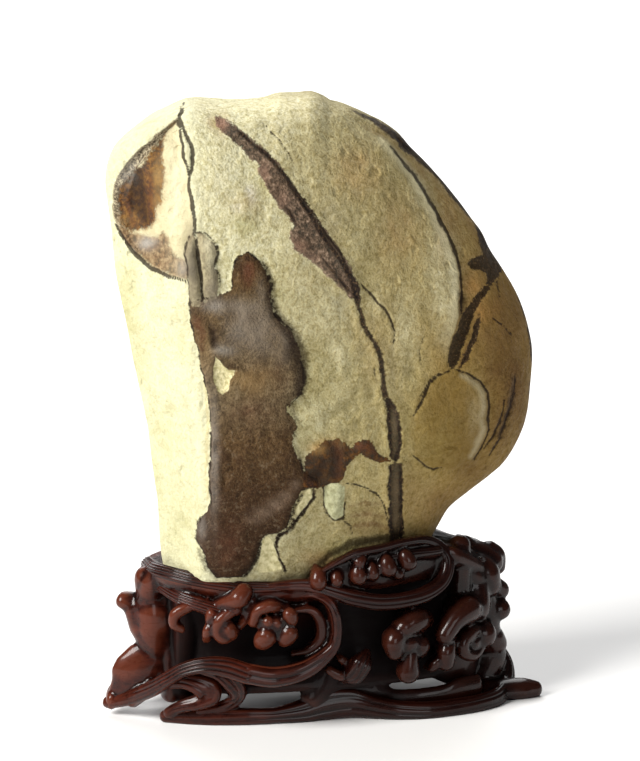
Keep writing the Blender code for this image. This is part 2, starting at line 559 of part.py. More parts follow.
def make_stand(rock, cutters):
    pieces = [make_body()]
    for group in (front_waves, left_end, lower_scrolls, right_end, back_waves, rim_lips):
        pieces += list(group())
    bpy.ops.object.select_all(action="DESELECT")
    for piece in pieces:
        piece.select_set(True)
    bpy.context.view_layer.objects.active = pieces[0]
    bpy.ops.object.join()
    stand = bpy.context.object
    stand.name = stand.data.name = "stand"
    stand.location = (0, 0, 0)
    for vertex in stand.data.vertices:
        vertex.co *= MILLIMETRE
    fuse = stand.modifiers.new("one block", "REMESH")
    fuse.mode = "VOXEL"
    fuse.voxel_size = CARVING_GRAIN * MILLIMETRE
    polish = stand.modifiers.new("rubbed smooth", "SMOOTH")
    polish.factor = 0.5
    polish.iterations = 3
    bake(stand)
    thin = stand.modifiers.new("fewer faces", "DECIMATE")
    thin.ratio = STAND_FACES / (len(stand.data.polygons) * 2)
    bake(stand)

    socket = make_cutter("socket cutter", rock.data.copy(), cutters)
    swell = socket.modifiers.new("clearance", "DISPLACE")
    swell.strength = SOCKET_GAP * MILLIMETRE
    swell.mid_level = 0.0
    bpy.ops.mesh.primitive_cube_add(size=1.0)
    slab = bpy.context.object
    floor = make_cutter("floor cutter", slab.data, cutters)
    bpy.data.objects.remove(slab)
    floor.scale = (0.4, 0.4, 0.1)
    floor.location = (0, 0, -0.05)
    for name, cutter in (("socket", socket), ("flat foot", floor)):
        cut = stand.modifiers.new(name, "BOOLEAN")
        cut.operation = "DIFFERENCE"
        cut.object = cutter
    bake(stand)
    merge_sole(stand)
    stand.data.shade_smooth()
    stand.data.set_sharp_from_angle(angle=math.radians(60))
    return stand


def make_material(name, colour, roughness):
    material = bpy.data.materials.new(name)
    material.use_nodes = True
    shader = material.node_tree.nodes["Principled BSDF"]
    shader.inputs["Base Color"].default_value = (*colour, 1.0)
    shader.inputs["Roughness"].default_value = roughness
    shader.inputs["Metallic"].default_value = 0.0
    return material


def main():
    for item in list(bpy.data.objects):
        bpy.data.objects.remove(item)
    parts = bpy.data.collections.new("scholars_rock_on_stand")
    cutters = bpy.data.collections.new("cutters")
    for collection in (parts, cutters):
        bpy.context.scene.collection.children.link(collection)
    rock = make_rock()
    rock.data.materials.append(make_material("buff stone", (0.58, 0.54, 0.33), 0.8))
    stand = make_stand(rock, cutters)
    stand.data.materials.clear()
    stand.data.materials.append(make_material("dark hardwood", (0.07, 0.018, 0.010), 0.3))
    for item in (rock, stand):
        for collection in list(item.users_collection):
            collection.objects.unlink(item)
        parts.objects.link(item)


main()
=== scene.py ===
import math

import bmesh
import bpy
import numpy as np
from mathutils import Matrix, Vector, noise


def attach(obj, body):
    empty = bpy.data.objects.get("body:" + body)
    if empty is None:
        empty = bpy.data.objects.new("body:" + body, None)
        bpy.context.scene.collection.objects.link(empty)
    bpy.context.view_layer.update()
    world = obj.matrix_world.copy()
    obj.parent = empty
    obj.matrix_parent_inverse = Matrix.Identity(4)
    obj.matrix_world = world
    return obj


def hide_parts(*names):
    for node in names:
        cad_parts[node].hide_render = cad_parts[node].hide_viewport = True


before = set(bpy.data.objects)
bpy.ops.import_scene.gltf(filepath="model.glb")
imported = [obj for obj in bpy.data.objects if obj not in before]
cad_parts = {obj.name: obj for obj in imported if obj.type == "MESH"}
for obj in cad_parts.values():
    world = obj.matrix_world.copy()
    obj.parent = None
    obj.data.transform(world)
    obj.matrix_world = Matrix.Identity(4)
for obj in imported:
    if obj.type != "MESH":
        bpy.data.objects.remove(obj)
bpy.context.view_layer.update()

MILLIMETRE = 0.001

# ---- The eye, and the upright sheet that the show side is drawn on, in millimetres ----
SHOW_TURN = math.radians(-15.0)
SHOW_RISE = math.radians(12.0)
EYE_DISTANCE = 1500.0
SHEET_AIM = 158.25
SHEET_RIGHT = np.array([math.cos(SHOW_TURN), math.sin(SHOW_TURN), 0.0])
TOWARD_EYE = np.array([math.sin(SHOW_TURN), -math.cos(SHOW_TURN), 0.0])
SHEET_UP = np.array([-math.sin(SHOW_TURN) * math.sin(SHOW_RISE),
                     math.cos(SHOW_TURN) * math.sin(SHOW_RISE), math.cos(SHOW_RISE)])
SHEET_OUT = np.cross(SHEET_RIGHT, SHEET_UP)
SHEET_MIDDLE = SHEET_AIM * SHEET_UP
EYE = SHEET_MIDDLE + EYE_DISTANCE * SHEET_OUT

# Markings are drawn on a sheet ruled in half millimetres, columns from the left and rows from the top.
SQUARE = 0.5
MIDDLE_COLUMN = 320.0
FLOOR_ROW = 697.0

# ---- The rock's form ----
ROCK_CENTRE = (2.0, 178.0)
ROCK_FRONT_DEPTH = 51.0
ROCK_BACK_DEPTH = 48.0
ROCK_LEFT_FULLNESS = 3.5
ROCK_RIGHT_FULLNESS = 2.3
BLANK_CUTS = 61
BLANK_EDGE = 0.999
BLANK_FLATNESS = 0.62
FACE_TOP_HEIGHT = 265.0
FACE_TOP_ACROSS = -114.0
FACE_LEAN = 0.16
FACE_TOP_SLOPE = 1.0
FACE_SLOPE_GAIN = 0.0028
EDGE_SHARPNESS = 14.0
ROCK_OUTLINE = [
    (-65, 299), (-57, 298), (-45, 297), (-35, 297.5), (-27, 298.5), (-21, 300.5), (-10, 301),
    (-5, 302), (1, 300.5), (5, 298), (10, 297), (18, 294), (25, 290.5), (32, 287), (39, 282),
    (45, 275), (51, 269), (57, 262.5), (64, 254.5), (70, 247), (75, 240), (81, 232), (85, 223.5),
    (91, 214.5), (97, 204.5), (101, 195.5), (104.5, 183), (106, 172), (105, 156), (103, 141),
    (98, 128.5), (92, 119), (85, 113), (77, 106.5), (70, 101), (64, 95.5), (60, 89), (56, 82),
    (50, 73), (38, 64), (15, 57), (-15, 53), (-45, 53), (-66, 57), (-76, 63),
    (-78.5, 70), (-80, 83.5), (-81, 103), (-84, 123), (-86, 138.5), (-89, 153), (-92.5, 168.5),
    (-95.5, 186), (-98.5, 199.5), (-101, 211), (-102.5, 222), (-104, 236), (-105.5, 248),
    (-107, 259), (-106, 267.5), (-103.5, 274.5), (-100, 279), (-93, 285), (-85, 290.5),
    (-75, 295.5), (-70, 298)]

# ---- The rock's markings: closed patches on the sheet, in columns and rows ----
FAN = [(180, 106), (177, 118), (165, 127), (152, 138), (139, 149), (126, 163), (115, 179), (113, 195),
       (113, 208), (116, 224), (123, 238), (134, 253), (151, 268), (170, 277), (187, 280), (190, 272),
       (187, 258), (190, 245), (194, 231), (193, 212), (191, 195), (189, 181), (185, 165), (182, 148),
       (179, 132)]
FAN_HEART = [(176, 122), (168, 131), (164, 142), (162, 154), (163, 163), (165, 175), (163, 193),
             (162, 203), (156, 211), (156, 221), (150, 229), (139, 232), (130, 233), (123, 227),
             (118, 215), (117, 200), (119, 188), (126, 179), (133, 172), (141, 165), (149, 155),
             (156, 144), (163, 134), (170, 126)]
FAN_FOOT = [(157, 237), (163, 231), (169, 240), (172, 250), (177, 257), (185, 260), (189, 272),
            (186, 279), (170, 276), (152, 267), (138, 255), (127, 243), (118, 230), (121, 225),
            (130, 232), (139, 235), (148, 238)]
FIGURE = [(232, 290), (231, 275), (233, 264), (238, 256), (247, 251), (256, 256), (262, 264),
          (266, 272), (270, 281), (272, 292), (270, 303), (275, 315), (282, 323), (290, 328),
          (294, 336), (297, 344), (300, 349), (302, 362), (304, 379), (304, 388), (298, 396),
          (291, 402), (285, 408), (288, 414), (295, 420), (298, 427), (293, 434), (293, 442),
          (296, 453), (300, 463), (305, 474), (318, 480), (320, 488), (308, 489), (301, 491),
          (296, 500), (291, 515), (287, 527), (278, 534), (267, 534), (261, 541), (258, 554),
          (252, 567), (243, 577), (215, 578), (208, 568), (204, 552), (195, 539), (197, 521),
          (206, 512), (211, 503), (209, 480), (211, 430), (209, 402), (204, 380), (201, 368),
          (199, 355), (196, 343), (193, 333), (190, 318), (189, 303), (201, 297), (218, 294)]
FIGURE_HOLE = [(215, 355), (221, 363), (228, 369), (239, 371), (233, 376), (230, 381), (229, 389),
               (222, 394), (217, 391), (214, 381), (213, 368)]
LEFT_FINGER = [(195, 231), (189, 236), (186, 245), (185, 255), (187, 262), (188, 280), (190, 306),
               (202, 306), (200, 275), (198, 258), (196, 245)]
RIGHT_FINGER = [(197, 231), (203, 233), (210, 238), (216, 245), (218, 252), (216, 258), (214, 265),
                (219, 272), (219, 280), (218, 297), (203, 302), (201, 275), (199, 258), (197, 245)]
VEIN_BAND = [(215, 114), (222, 118), (230, 121), (238, 128), (247, 134), (258, 143), (266, 150),
             (272, 157), (279, 164), (285, 173), (290, 182), (296, 191), (303, 200), (311, 208),
             (317, 217), (323, 226), (329, 235), (335, 243), (343, 255), (349, 264), (355, 275),
             (361, 290), (360, 300), (350, 299), (342, 288), (331, 279), (322, 270), (313, 262),
             (302, 254), (293, 248), (289, 238), (293, 224), (289, 215), (279, 207), (271, 195),
             (266, 184), (259, 175), (258, 163), (251, 159), (243, 150), (234, 142), (222, 132),
             (216, 125)]
ARCH = [(305, 458), (310, 452), (318, 447), (325, 441), (338, 439), (345, 443), (351, 449), (357, 441),
        (364, 439), (371, 442), (376, 451), (384, 457), (391, 462), (377, 463), (367, 458), (361, 454),
        (353, 459), (347, 466), (345, 476), (339, 483), (326, 487), (314, 489), (303, 486), (304, 472)]
DARK_PATCHES = [
    [(384, 398), (389, 399), (395, 407), (400, 424), (402, 446), (399, 459), (395, 462), (390, 459),
     (388, 436), (387, 414)],
    [(389, 466), (395, 463), (401, 464), (403, 484), (403, 510), (404, 534), (400, 541), (392, 541),
     (389, 526), (389, 494)],
    [(396, 137), (404, 140), (414, 151), (411, 157), (404, 153), (398, 147)],
    [(467, 265), (472, 259), (483, 256), (480, 246), (476, 228), (479, 226), (488, 248), (496, 260),
     (502, 270), (499, 278), (491, 286), (486, 284), (487, 276), (484, 271), (475, 272)],
    [(487, 284), (478, 294), (470, 305), (462, 316), (457, 330), (450, 346), (448, 360), (450, 371),
     (457, 366), (462, 352), (467, 337), (472, 322), (478, 306), (490, 290)],
    [(482, 310), (480, 328), (476, 342), (469, 357), (459, 370), (464, 356), (470, 342), (474, 326)]]
PALE_PATCHES = [
    FIGURE_HOLE,
    [(305, 492), (312, 489), (312, 498), (306, 507), (299, 514), (292, 526), (296, 512)],
    [(262, 541), (268, 536), (273, 543), (278, 558), (282, 570), (256, 573), (260, 557)]]
PEBBLE = [(324, 488), (330, 484), (339, 483), (344, 487), (345, 500), (343, 516), (336, 521),
          (327, 513), (324, 502)]
INSET = [(450, 371), (462, 372), (470, 376), (479, 383), (486, 394), (488, 408), (485, 418),
         (487, 429), (483, 440), (479, 450), (472, 461), (455, 470), (438, 469), (425, 466),
         (416, 457), (412, 435), (415, 415), (421, 398), (431, 382)]
LEDGE = [(362, 128), (376, 136), (389, 144), (402, 162), (412, 172), (421, 186), (429, 200),
         (437, 219), (448, 241), (454, 257), (458, 273), (459, 297), (458, 317), (454, 332),
         (449, 345), (448, 370)]
# The corners that close the ledge's line into an area, down its foot and round its left.
LEFT_OF_LEDGE = [(452, 700), (-400, 700), (-400, 40), (250, 40)]

# Strokes on the sheet: column, row and half-width at each point.
FAN_RIM = [(180, 108, 2), (172, 121, 4), (161, 129, 6), (149, 139, 9), (139, 150, 10), (128, 163, 10),
           (119, 176, 9), (115, 190, 7), (115, 206, 6), (118, 222, 5), (125, 237, 3.5), (136, 251, 2)]
VEIN_CORE = [
    [(233, 127, 0.4), (244, 136, 1.8), (256, 146, 1.2), (266, 154, 2.2), (276, 164, 1.2),
     (284, 174, 2.4), (291, 185, 3.2), (299, 196, 2.4), (307, 208, 2.8), (314, 220, 2), (320, 231, 2.6),
     (328, 243, 1.6), (337, 255, 1.8), (345, 267, 2.4), (352, 279, 3.4), (356, 291, 4.2),
     (358, 303, 2.6), (361, 316, 2), (366, 330, 2.6), (372, 339, 2.2), (379, 351, 2.6),
     (382, 364, 2.8), (383, 381, 2.6), (385, 396, 3)],
    [(284, 204, 0.6), (291, 214, 2), (297, 225, 1)],
    [(318, 252, 0.5), (329, 266, 1.1), (338, 277, 1.2), (348, 290, 1.8)],
    [(384, 398, 1.6), (388, 408, 1.8), (390, 420, 1.4), (390, 438, 1.8), (391, 452, 1.2), (391, 459, 0.8)],
    [(390, 401, 1.8), (396, 412, 2.2), (399, 428, 2.2), (400, 446, 2), (396, 460, 2.4)],
    [(390, 466, 1), (390, 480, 1.6), (390, 500, 1.2), (391, 522, 2), (392, 541, 2.6)],
    [(401, 464, 1), (401, 480, 1.8), (401, 500, 1.6), (402, 522, 1.6), (401, 541, 2.4)],
    [(315, 489, 1.4), (313, 498, 2), (305, 508, 2.2), (297, 518, 2), (291, 529, 2.2)],
    [(288, 531, 2), (279, 536, 2.4), (276, 545, 1.7), (279, 557, 1.5), (285, 571, 1.8)],
    [(352, 110, 0.6), (375, 121, 2.4), (391, 133, 4.2), (408, 147, 4), (421, 160, 3.6), (436, 172, 4),
     (449, 188, 4.2), (463, 205, 4), (475, 219, 4.4), (483, 238, 4), (496, 257, 3.2), (509, 274, 2.4),
     (520, 297, 1.8), (528, 322, 2), (531, 345, 1.6), (531, 372, 1.4), (530, 400, 0.8)]]
# Painted shade: dark strokes where shade falls, along the figure's edges and in its ear and arm, beside the
# arch, in the fan's hollow, on the right, and the shadow on the rock just above the stand's rim; they are
# also cut a little into the rock.
PAINTED_SHADE_STROKES = [
    [(262, 262, 2.5), (268, 273, 4), (271, 286, 5), (271, 302, 5), (277, 315, 5), (286, 325, 6),
     (293, 336, 6.5), (299, 350, 7), (302, 364, 6.5), (302, 380, 7), (299, 392, 6)],
    [(236, 262, 1.5), (246, 256, 2), (256, 260, 1.5)], [(234, 264, 1), (233, 286, 1.5)],
    [(211, 322, 3), (214, 333, 4.5), (215, 344, 3.5)], [(216, 357, 1), (228, 366, 2), (246, 368, 2)],
    [(291, 404, 1), (296, 420, 2), (293, 440, 2), (300, 466, 2), (307, 478, 3)],
    [(308, 478, 5), (318, 474, 6), (324, 462, 4)], [(331, 446, 4), (336, 458, 5), (334, 474, 5)],
    [(322, 562, 3), (336, 553, 4), (352, 544, 5), (372, 541, 5), (396, 538, 5)],
    [(140, 172, 3), (138, 184, 7), (137, 199, 9), (141, 212, 7), (146, 222, 4)],
    [(458, 292, 2), (463, 300, 3), (462, 314, 3)],
    [(514, 380, 2), (510, 408, 3), (500, 436, 3)],
    [(259, 545, 2), (254, 562, 3), (244, 573, 4)], [(199, 551, 2), (206, 566, 3), (216, 575, 4)]]
# Painted highlights: pale strokes where edges catch the light, along the ledge's crest and the inset's rim,
# on the figure's shoulder and left edge, and beside the vein.
PAINTED_HIGHLIGHT_STROKES = [
    [(380, 139, 1.5), (398, 158, 2.5), (410, 173, 3), (425, 198, 3), (434, 219, 2.6), (445, 241, 2.6),
     (451, 258, 2.6), (455, 276, 2.4), (455, 298, 2), (454, 316, 1.4)],
    [(462, 375, 0.8), (474, 382, 1.4), (482, 393, 1.7), (484, 407, 1.6), (482, 416, 0.6)],
    [(482, 421, 0.6), (483, 430, 1.6), (478, 442, 1.3), (471, 456, 0.7)],
    [(212, 300, 3), (218, 303, 4), (224, 303, 2)], [(214, 348, 1), (222, 350, 3), (232, 352, 2)],
    [(211, 404, 2), (213, 440, 2.6), (213, 480, 2.6), (210, 508, 2)],
    [(291, 238, 1), (295, 247, 2), (306, 254, 2), (318, 265, 1.6), (330, 276, 1)],
    [(233, 142, 0.6), (244, 151, 1.4), (256, 162, 1)]]
RED_STROKES = [
    [(166, 240, 1), (156, 247, 1.6), (146, 250, 1)], [(171, 249, 1), (162, 256, 1.8), (150, 259, 1)],
    [(176, 258, 0.8), (168, 264, 1.6), (158, 266, 0.8)], [(152, 172, 1), (150, 190, 2.4), (151, 208, 1.4)],
    [(129, 196, 2), (128, 212, 3), (134, 226, 2)], [(218, 120, 3), (222, 128, 3)],
    [(251, 264, 4), (250, 276, 5), (247, 288, 2)], [(336, 444, 3), (339, 460, 4), (337, 476, 4)],
    [(357, 446, 3), (366, 447, 4), (374, 454, 2)], [(468, 345, 1.5), (465, 358, 3), (459, 367, 1.5)],
    [(196, 318, 3), (203, 334, 4), (202, 350, 2)], [(350, 506, 1), (366, 503, 2), (382, 506, 1)],
    [(350, 516, 1), (368, 514, 2.4), (386, 518, 1)], [(354, 527, 1.4), (372, 524, 3), (388, 528, 1.4)]]

# Dark lines: half-width, then the columns and rows it passes.
DARK_LINES = [
    (1.7, [(183, 103), (182, 109), (179, 117), (178, 126)]),
    (1.5, [(178, 118), (180, 133), (183, 145), (184, 155), (187, 168), (190, 178)]),
    (1.7, [(179, 116), (184, 130), (191, 144), (193, 155), (192, 168), (190, 179)]),
    (2.0, [(190, 177), (188, 186), (191, 196), (193, 207), (195, 220), (195, 232)]),
    (1.7, [(115, 222), (123, 237), (133, 252), (151, 268), (170, 277), (187, 281)]),
    (0.9, [(195, 231), (189, 236), (186, 245), (185, 255), (187, 262), (188, 280), (190, 300)]),
    (1.7, [(196, 233), (197, 245), (199, 260), (201, 277), (202, 300)]),
    (1.3, [(197, 232), (204, 233), (211, 238), (217, 246), (219, 253), (216, 259), (215, 265),
           (219, 272), (220, 280), (219, 294)]),
    (0.5, [(259, 113), (262, 122), (272, 133), (281, 141), (288, 152), (293, 163)]),
    (1.0, [(303, 197), (311, 208), (318, 220), (327, 236), (339, 251), (345, 261), (348, 270)]),
    (1.0, [(360, 284), (367, 290), (376, 301), (386, 311), (392, 323), (394, 336), (393, 350)]),
    (0.8, [(376, 359), (374, 372), (377, 386)]),
    (1.9, [(264, 262), (269, 275), (272, 290), (271, 303), (277, 316), (285, 325), (292, 329)]),
    (1.5, [(296, 343), (301, 350), (304, 366), (306, 380), (303, 392), (295, 399), (287, 406)]),
    (1.3, [(292, 436), (294, 448), (298, 460), (304, 471)]),
    (1.6, [(316, 489), (314, 498), (306, 508), (298, 518), (291, 529)]),
    (1.1, [(305, 490), (300, 498), (294, 510), (290, 522)]),
    (1.4, [(288, 531), (279, 536), (276, 545), (279, 557), (285, 571)]),
    (1.4, [(266, 536), (261, 542), (259, 555), (252, 568), (243, 578)]),
    (1.1, [(330, 484), (324, 488), (323, 501), (326, 513), (335, 521), (343, 519), (346, 503)]),
    (0.9, [(345, 484), (356, 485), (366, 488), (377, 495), (385, 508), (388, 521)]),
    (0.8, [(343, 521), (350, 526), (352, 536)]),
    (1.5, [(390, 146), (403, 163), (414, 175), (423, 189), (432, 205), (440, 221), (450, 240),
           (457, 257), (461, 275), (462, 300), (461, 316)]),
    (1.1, [(452, 369), (466, 373), (480, 382), (488, 394), (490, 408), (487, 418), (489, 430),
           (484, 444), (474, 460)]),
    (1.3, [(450, 371), (438, 376), (429, 384), (426, 393), (420, 406), (413, 417)]),
    (0.7, [(441, 372), (430, 379), (423, 391), (418, 400)]),
    (0.9, [(413, 456), (423, 465), (434, 470), (441, 468)]),
    (0.7, [(493, 318), (505, 328), (514, 338)]),
    (1.0, [(516, 372), (514, 392), (508, 416), (499, 440), (489, 456)]),
    (0.8, [(505, 400), (501, 420), (493, 438), (484, 450)]),
    (0.8, [(500, 268), (497, 284), (500, 300)]), (0.6, [(425, 330), (419, 352), (421, 366)])]
PALE_LINES = [
    (1.6, [(190, 300), (197, 340), (205, 380), (208, 420), (206, 470), (208, 500)]),
    (1.5, [(211, 352), (212, 384), (211, 420)]), (1.8, [(366, 332), (371, 335)]),
    (1.6, [(285, 402), (287, 407)]), (1.6, [(306, 456), (308, 468), (313, 474)])]

SHOW_PATCHES = {
    "fan": [FAN], "heart": [FAN_HEART], "foot": [FAN_FOOT], "figure": [FIGURE],
    "fingers": [LEFT_FINGER, RIGHT_FINGER], "band": [VEIN_BAND], "arch": [ARCH],
    "dark": DARK_PATCHES, "pale": PALE_PATCHES, "pebble": [PEBBLE], "inset": [INSET]}
SHOW_STROKES = {"rim": [FAN_RIM], "core": VEIN_CORE, "shade": PAINTED_SHADE_STROKES, "painted_highlight": PAINTED_HIGHLIGHT_STROKES,
                "red": RED_STROKES}

# Soft stains under the markings and on them, a few of them painted shade: colour, then column, row,
# reach across, reach down and strength.
STAIN_PATCHINESS = 0.55
GROUND_STAINS_AND_SHADE = [
    ("a98a5c", [(356, 172, 24, 26, 0.5), (400, 232, 24, 40, 0.42), (245, 203, 14, 12, 0.3),
                (222, 126, 7, 12, 0.6), (432, 503, 42, 26, 0.3), (330, 447, 14, 10, 0.6),
                (376, 340, 20, 40, 0.25), (290, 275, 26, 20, 0.12), (452, 212, 9, 26, 0.4)]),
    ("b07f45", [(443, 236, 7, 26, 0.3), (472, 288, 12, 18, 0.5), (318, 449, 9, 6, 0.75),
                (212, 122, 4, 8, 0.5), (322, 560, 18, 10, 0.4), (470, 205, 8, 18, 0.3),
                (484, 312, 12, 12, 0.5), (497, 306, 9, 10, 0.4)]),
    ("a39f62", [(244, 226, 11, 9, 0.55), (345, 552, 18, 12, 0.4), (180, 520, 22, 50, 0.3),
                (310, 400, 26, 44, 0.22), (275, 285, 22, 26, 0.25), (126, 310, 12, 50, 0.3),
                (430, 440, 34, 40, 0.2), (216, 121, 5, 10, 0.4), (268, 180, 9, 16, 0.3),
                (122, 400, 8, 40, 0.25), (168, 430, 16, 30, 0.25), (128, 300, 10, 30, 0.3),
                (140, 360, 12, 26, 0.3), (184, 330, 8, 30, 0.25), (150, 480, 12, 26, 0.3)]),
    ("e4e0c2", [(222, 175, 14, 30, 0.4), (205, 110, 22, 10, 0.5), (300, 108, 40, 12, 0.35),
                (255, 300, 8, 20, 0.3), (300, 290, 14, 20, 0.25), (320, 415, 14, 16, 0.4),
                (340, 360, 12, 30, 0.25), (405, 330, 12, 34, 0.35), (452, 280, 8, 40, 0.35),
                (330, 500, 10, 18, 0.25), (375, 305, 9, 12, 0.3), (268, 552, 7, 14, 0.5),
                (438, 262, 12, 44, 0.35), (444, 310, 9, 30, 0.3), (420, 190, 10, 20, 0.3),
                (476, 412, 8, 24, 0.25), (230, 160, 16, 24, 0.2), (330, 310, 14, 22, 0.25)]),
    ("d8d4cf", [(252, 194, 4, 8, 0.6), (247, 190, 3, 5, 0.5), (238, 208, 6, 5, 0.25)]),
    ("57381b", [(503, 340, 11, 34, 0.6), (513, 392, 9, 34, 0.6), (493, 372, 7, 22, 0.5),
                (499, 428, 8, 20, 0.5), (516, 318, 6, 22, 0.5), (470, 470, 14, 8, 0.3),
                (487, 336, 5, 14, 0.5), (440, 500, 14, 12, 0.25)]),
    ("8b8058", [(318, 208, 12, 22, 0.4), (340, 236, 12, 24, 0.45), (362, 272, 12, 28, 0.45),
                (382, 316, 12, 34, 0.4), (404, 372, 12, 34, 0.35), (408, 420, 8, 40, 0.3),
                (292, 160, 10, 16, 0.35), (318, 390, 10, 26, 0.3), (250, 218, 8, 8, 0.35),
                (330, 478, 14, 8, 0.3), (262, 190, 6, 16, 0.25), (226, 200, 4, 8, 0.25)]),
    # Brown stains on the right; the two spots low in the middle are painted shadow on the rock above the
    # stand's cup.
    ("6d5026", [(497, 300, 14, 34, 0.4), (500, 360, 14, 50, 0.4), (520, 400, 8, 36, 0.4),
                (480, 345, 8, 22, 0.4), (440, 410, 14, 20, 0.18), (410, 470, 10, 30, 0.2),
                (368, 528, 22, 10, 0.55), (366, 512, 16, 8, 0.35), (335, 240, 6, 14, 0.2)]),
    ("8c8672", [(300, 205, 14, 16, 0.3), (330, 215, 14, 26, 0.25), (400, 130, 14, 10, 0.4),
                (304, 465, 9, 9, 0.75), (275, 125, 16, 12, 0.2), (342, 300, 14, 22, 0.25),
                (395, 380, 9, 30, 0.25), (297, 398, 7, 6, 0.4)])]
MARK_STAINS_AND_SHADE = [
    ("9a958c", [(214, 304, 10, 6, 0.8), (222, 349, 10, 5, 0.6), (214, 455, 5, 60, 0.35),
                (202, 526, 5, 14, 0.3), (147, 244, 9, 7, 0.85), (184, 268, 7, 10, 0.6),
                (236, 330, 10, 14, 0.3), (126, 172, 12, 14, 0.5), (147, 244, 6, 4, 0.3)]),
    ("8d7763", [(286, 496, 7, 5, 0.45), (276, 503, 8, 5, 0.45), (264, 511, 9, 5, 0.45),
                (254, 519, 8, 4, 0.35), (296, 484, 5, 5, 0.3)]),
    ("776b58", [(192, 264, 7, 36, 0.75), (212, 287, 7, 11, 0.7), (216, 262, 3, 16, 0.5),
                (250, 302, 24, 9, 0.4)]),
    ("7b7062", [(252, 318, 26, 16, 0.6), (262, 340, 26, 16, 0.5), (236, 306, 26, 6, 0.6),
                (212, 285, 6, 14, 0.6), (262, 290, 5, 12, 0.6), (285, 345, 9, 16, 0.4),
                (206, 400, 7, 60, 0.4), (344, 262, 8, 12, 0.3)]),
    ("553220", [(200, 326, 8, 14, 0.3), (248, 270, 8, 13, 0.7), (262, 378, 26, 16, 0.25),
                (252, 410, 20, 12, 0.35), (150, 196, 7, 24, 0.4), (278, 186, 9, 14, 0.3),
                (300, 246, 10, 8, 0.45), (366, 446, 8, 5, 0.6), (336, 448, 8, 8, 0.5),
                (228, 545, 14, 24, 0.4)]),
    ("8b6f43", [(157, 178, 6, 20, 0.6), (158, 200, 5, 12, 0.4), (127, 222, 9, 9, 0.4),
                (250, 385, 26, 12, 0.35), (244, 374, 30, 8, 0.3), (207, 350, 7, 24, 0.4),
                (318, 450, 8, 5, 0.8), (340, 444, 7, 4, 0.4)]),
    ("b98f78", [(222, 123, 7, 7, 0.7), (296, 244, 7, 6, 0.5), (312, 257, 8, 5, 0.4),
                (264, 172, 6, 10, 0.4), (284, 198, 6, 8, 0.3)]),
    ("d9d0ae", [(209, 242, 5, 12, 0.8), (212, 262, 5, 9, 0.5), (176, 190, 9, 60, 0.6)]),
    # Painted shade: near black deepening the shade in the figure's ear and arm, by its right edge and beside
    # the arch.
    ("21140a", [(215, 338, 5, 9, 0.7), (322, 478, 12, 8, 0.6), (334, 466, 7, 14, 0.5),
                (292, 350, 6, 16, 0.6), (238, 262, 5, 8, 0.5)]),
    ("77654e", [(395, 426, 2.5, 16, 0.5), (395, 450, 2.5, 8, 0.3), (396, 488, 3, 16, 0.6),
                (396, 516, 3, 12, 0.5)]),
    ("42362c", [(192, 268, 6, 34, 0.75), (214, 272, 7, 11, 0.6), (205, 286, 4, 14, 0.45),
                (218, 250, 3, 12, 0.4)])]

# The hidden side's markings, across and up in millimetres.
BACK_STROKES = [
    [(56, 276, 0.8), (48, 262, 1.6), (38, 246, 2.4), (30, 226, 3.2), (14, 204, 3.8), (4, 184, 3.0),
     (-2, 160, 2.2), (-10, 138, 1.8), (-12, 112, 2.2), (-20, 88, 1.9), (-22, 56, 1.8)],
    [(30, 226, 1.8), (44, 206, 1.5), (52, 182, 1.2), (66, 164, 0.9)],
    [(-98, 236, 1.2), (-80, 222, 1.3), (-66, 200, 1.4), (-64, 172, 1.1), (-72, 150, 0.9)],
    [(-60, 296, 1.0), (-54, 272, 1.3), (-44, 250, 1.0), (-40, 226, 0.8)],
    [(88, 214, 1.0), (72, 196, 1.2), (66, 164, 1.3), (74, 138, 1.1), (64, 112, 0.9)],
    [(-12, 112, 1.2), (10, 104, 1.1), (28, 92, 1.3), (40, 72, 1.0)],
    [(-70, 108, 0.9), (-52, 96, 1.2), (-40, 74, 1.1)], [(96, 172, 0.9), (84, 158, 1.1), (80, 132, 0.9)],
    [(10, 290, 0.8), (0, 262, 1.1), (-14, 236, 0.9), (-18, 210, 0.8)]]
BACK_PATCHES = [
    [(-84, 176), (-70, 190), (-54, 186), (-44, 172), (-38, 152), (-42, 134), (-34, 116), (-40, 96),
     (-52, 84), (-66, 88), (-72, 104), (-68, 124), (-78, 142), (-86, 158)],
    [(44, 132), (54, 142), (66, 138), (72, 124), (66, 112), (58, 120), (50, 118), (44, 104), (38, 112)],
    [(-38, 214), (-32, 222), (-27, 217), (-24, 205), (-17, 198), (-19, 190), (-27, 192), (-33, 201)]]
BACK_VEIN = [(40, 254), (30, 240), (20, 222), (4, 204), (-6, 184), (-4, 172), (6, 178), (14, 192),
             (28, 206), (38, 224), (44, 242)]
BACK_STAINS = [
    ("a98a5c", [(60, 240, 24, 26, 0.4), (-30, 240, 30, 24, 0.35), (20, 120, 30, 30, 0.3),
                (80, 190, 16, 30, 0.4)]),
    ("a39f62", [(-60, 240, 24, 24, 0.3), (30, 160, 20, 30, 0.25), (-90, 120, 14, 40, 0.3)]),
    ("e4e0c2", [(-10, 280, 50, 14, 0.4), (-96, 200, 14, 60, 0.5), (40, 200, 16, 20, 0.3)]),
    ("6d5026", [(96, 160, 14, 40, 0.5), (70, 100, 20, 16, 0.4), (-10, 70, 50, 12, 0.4)])]

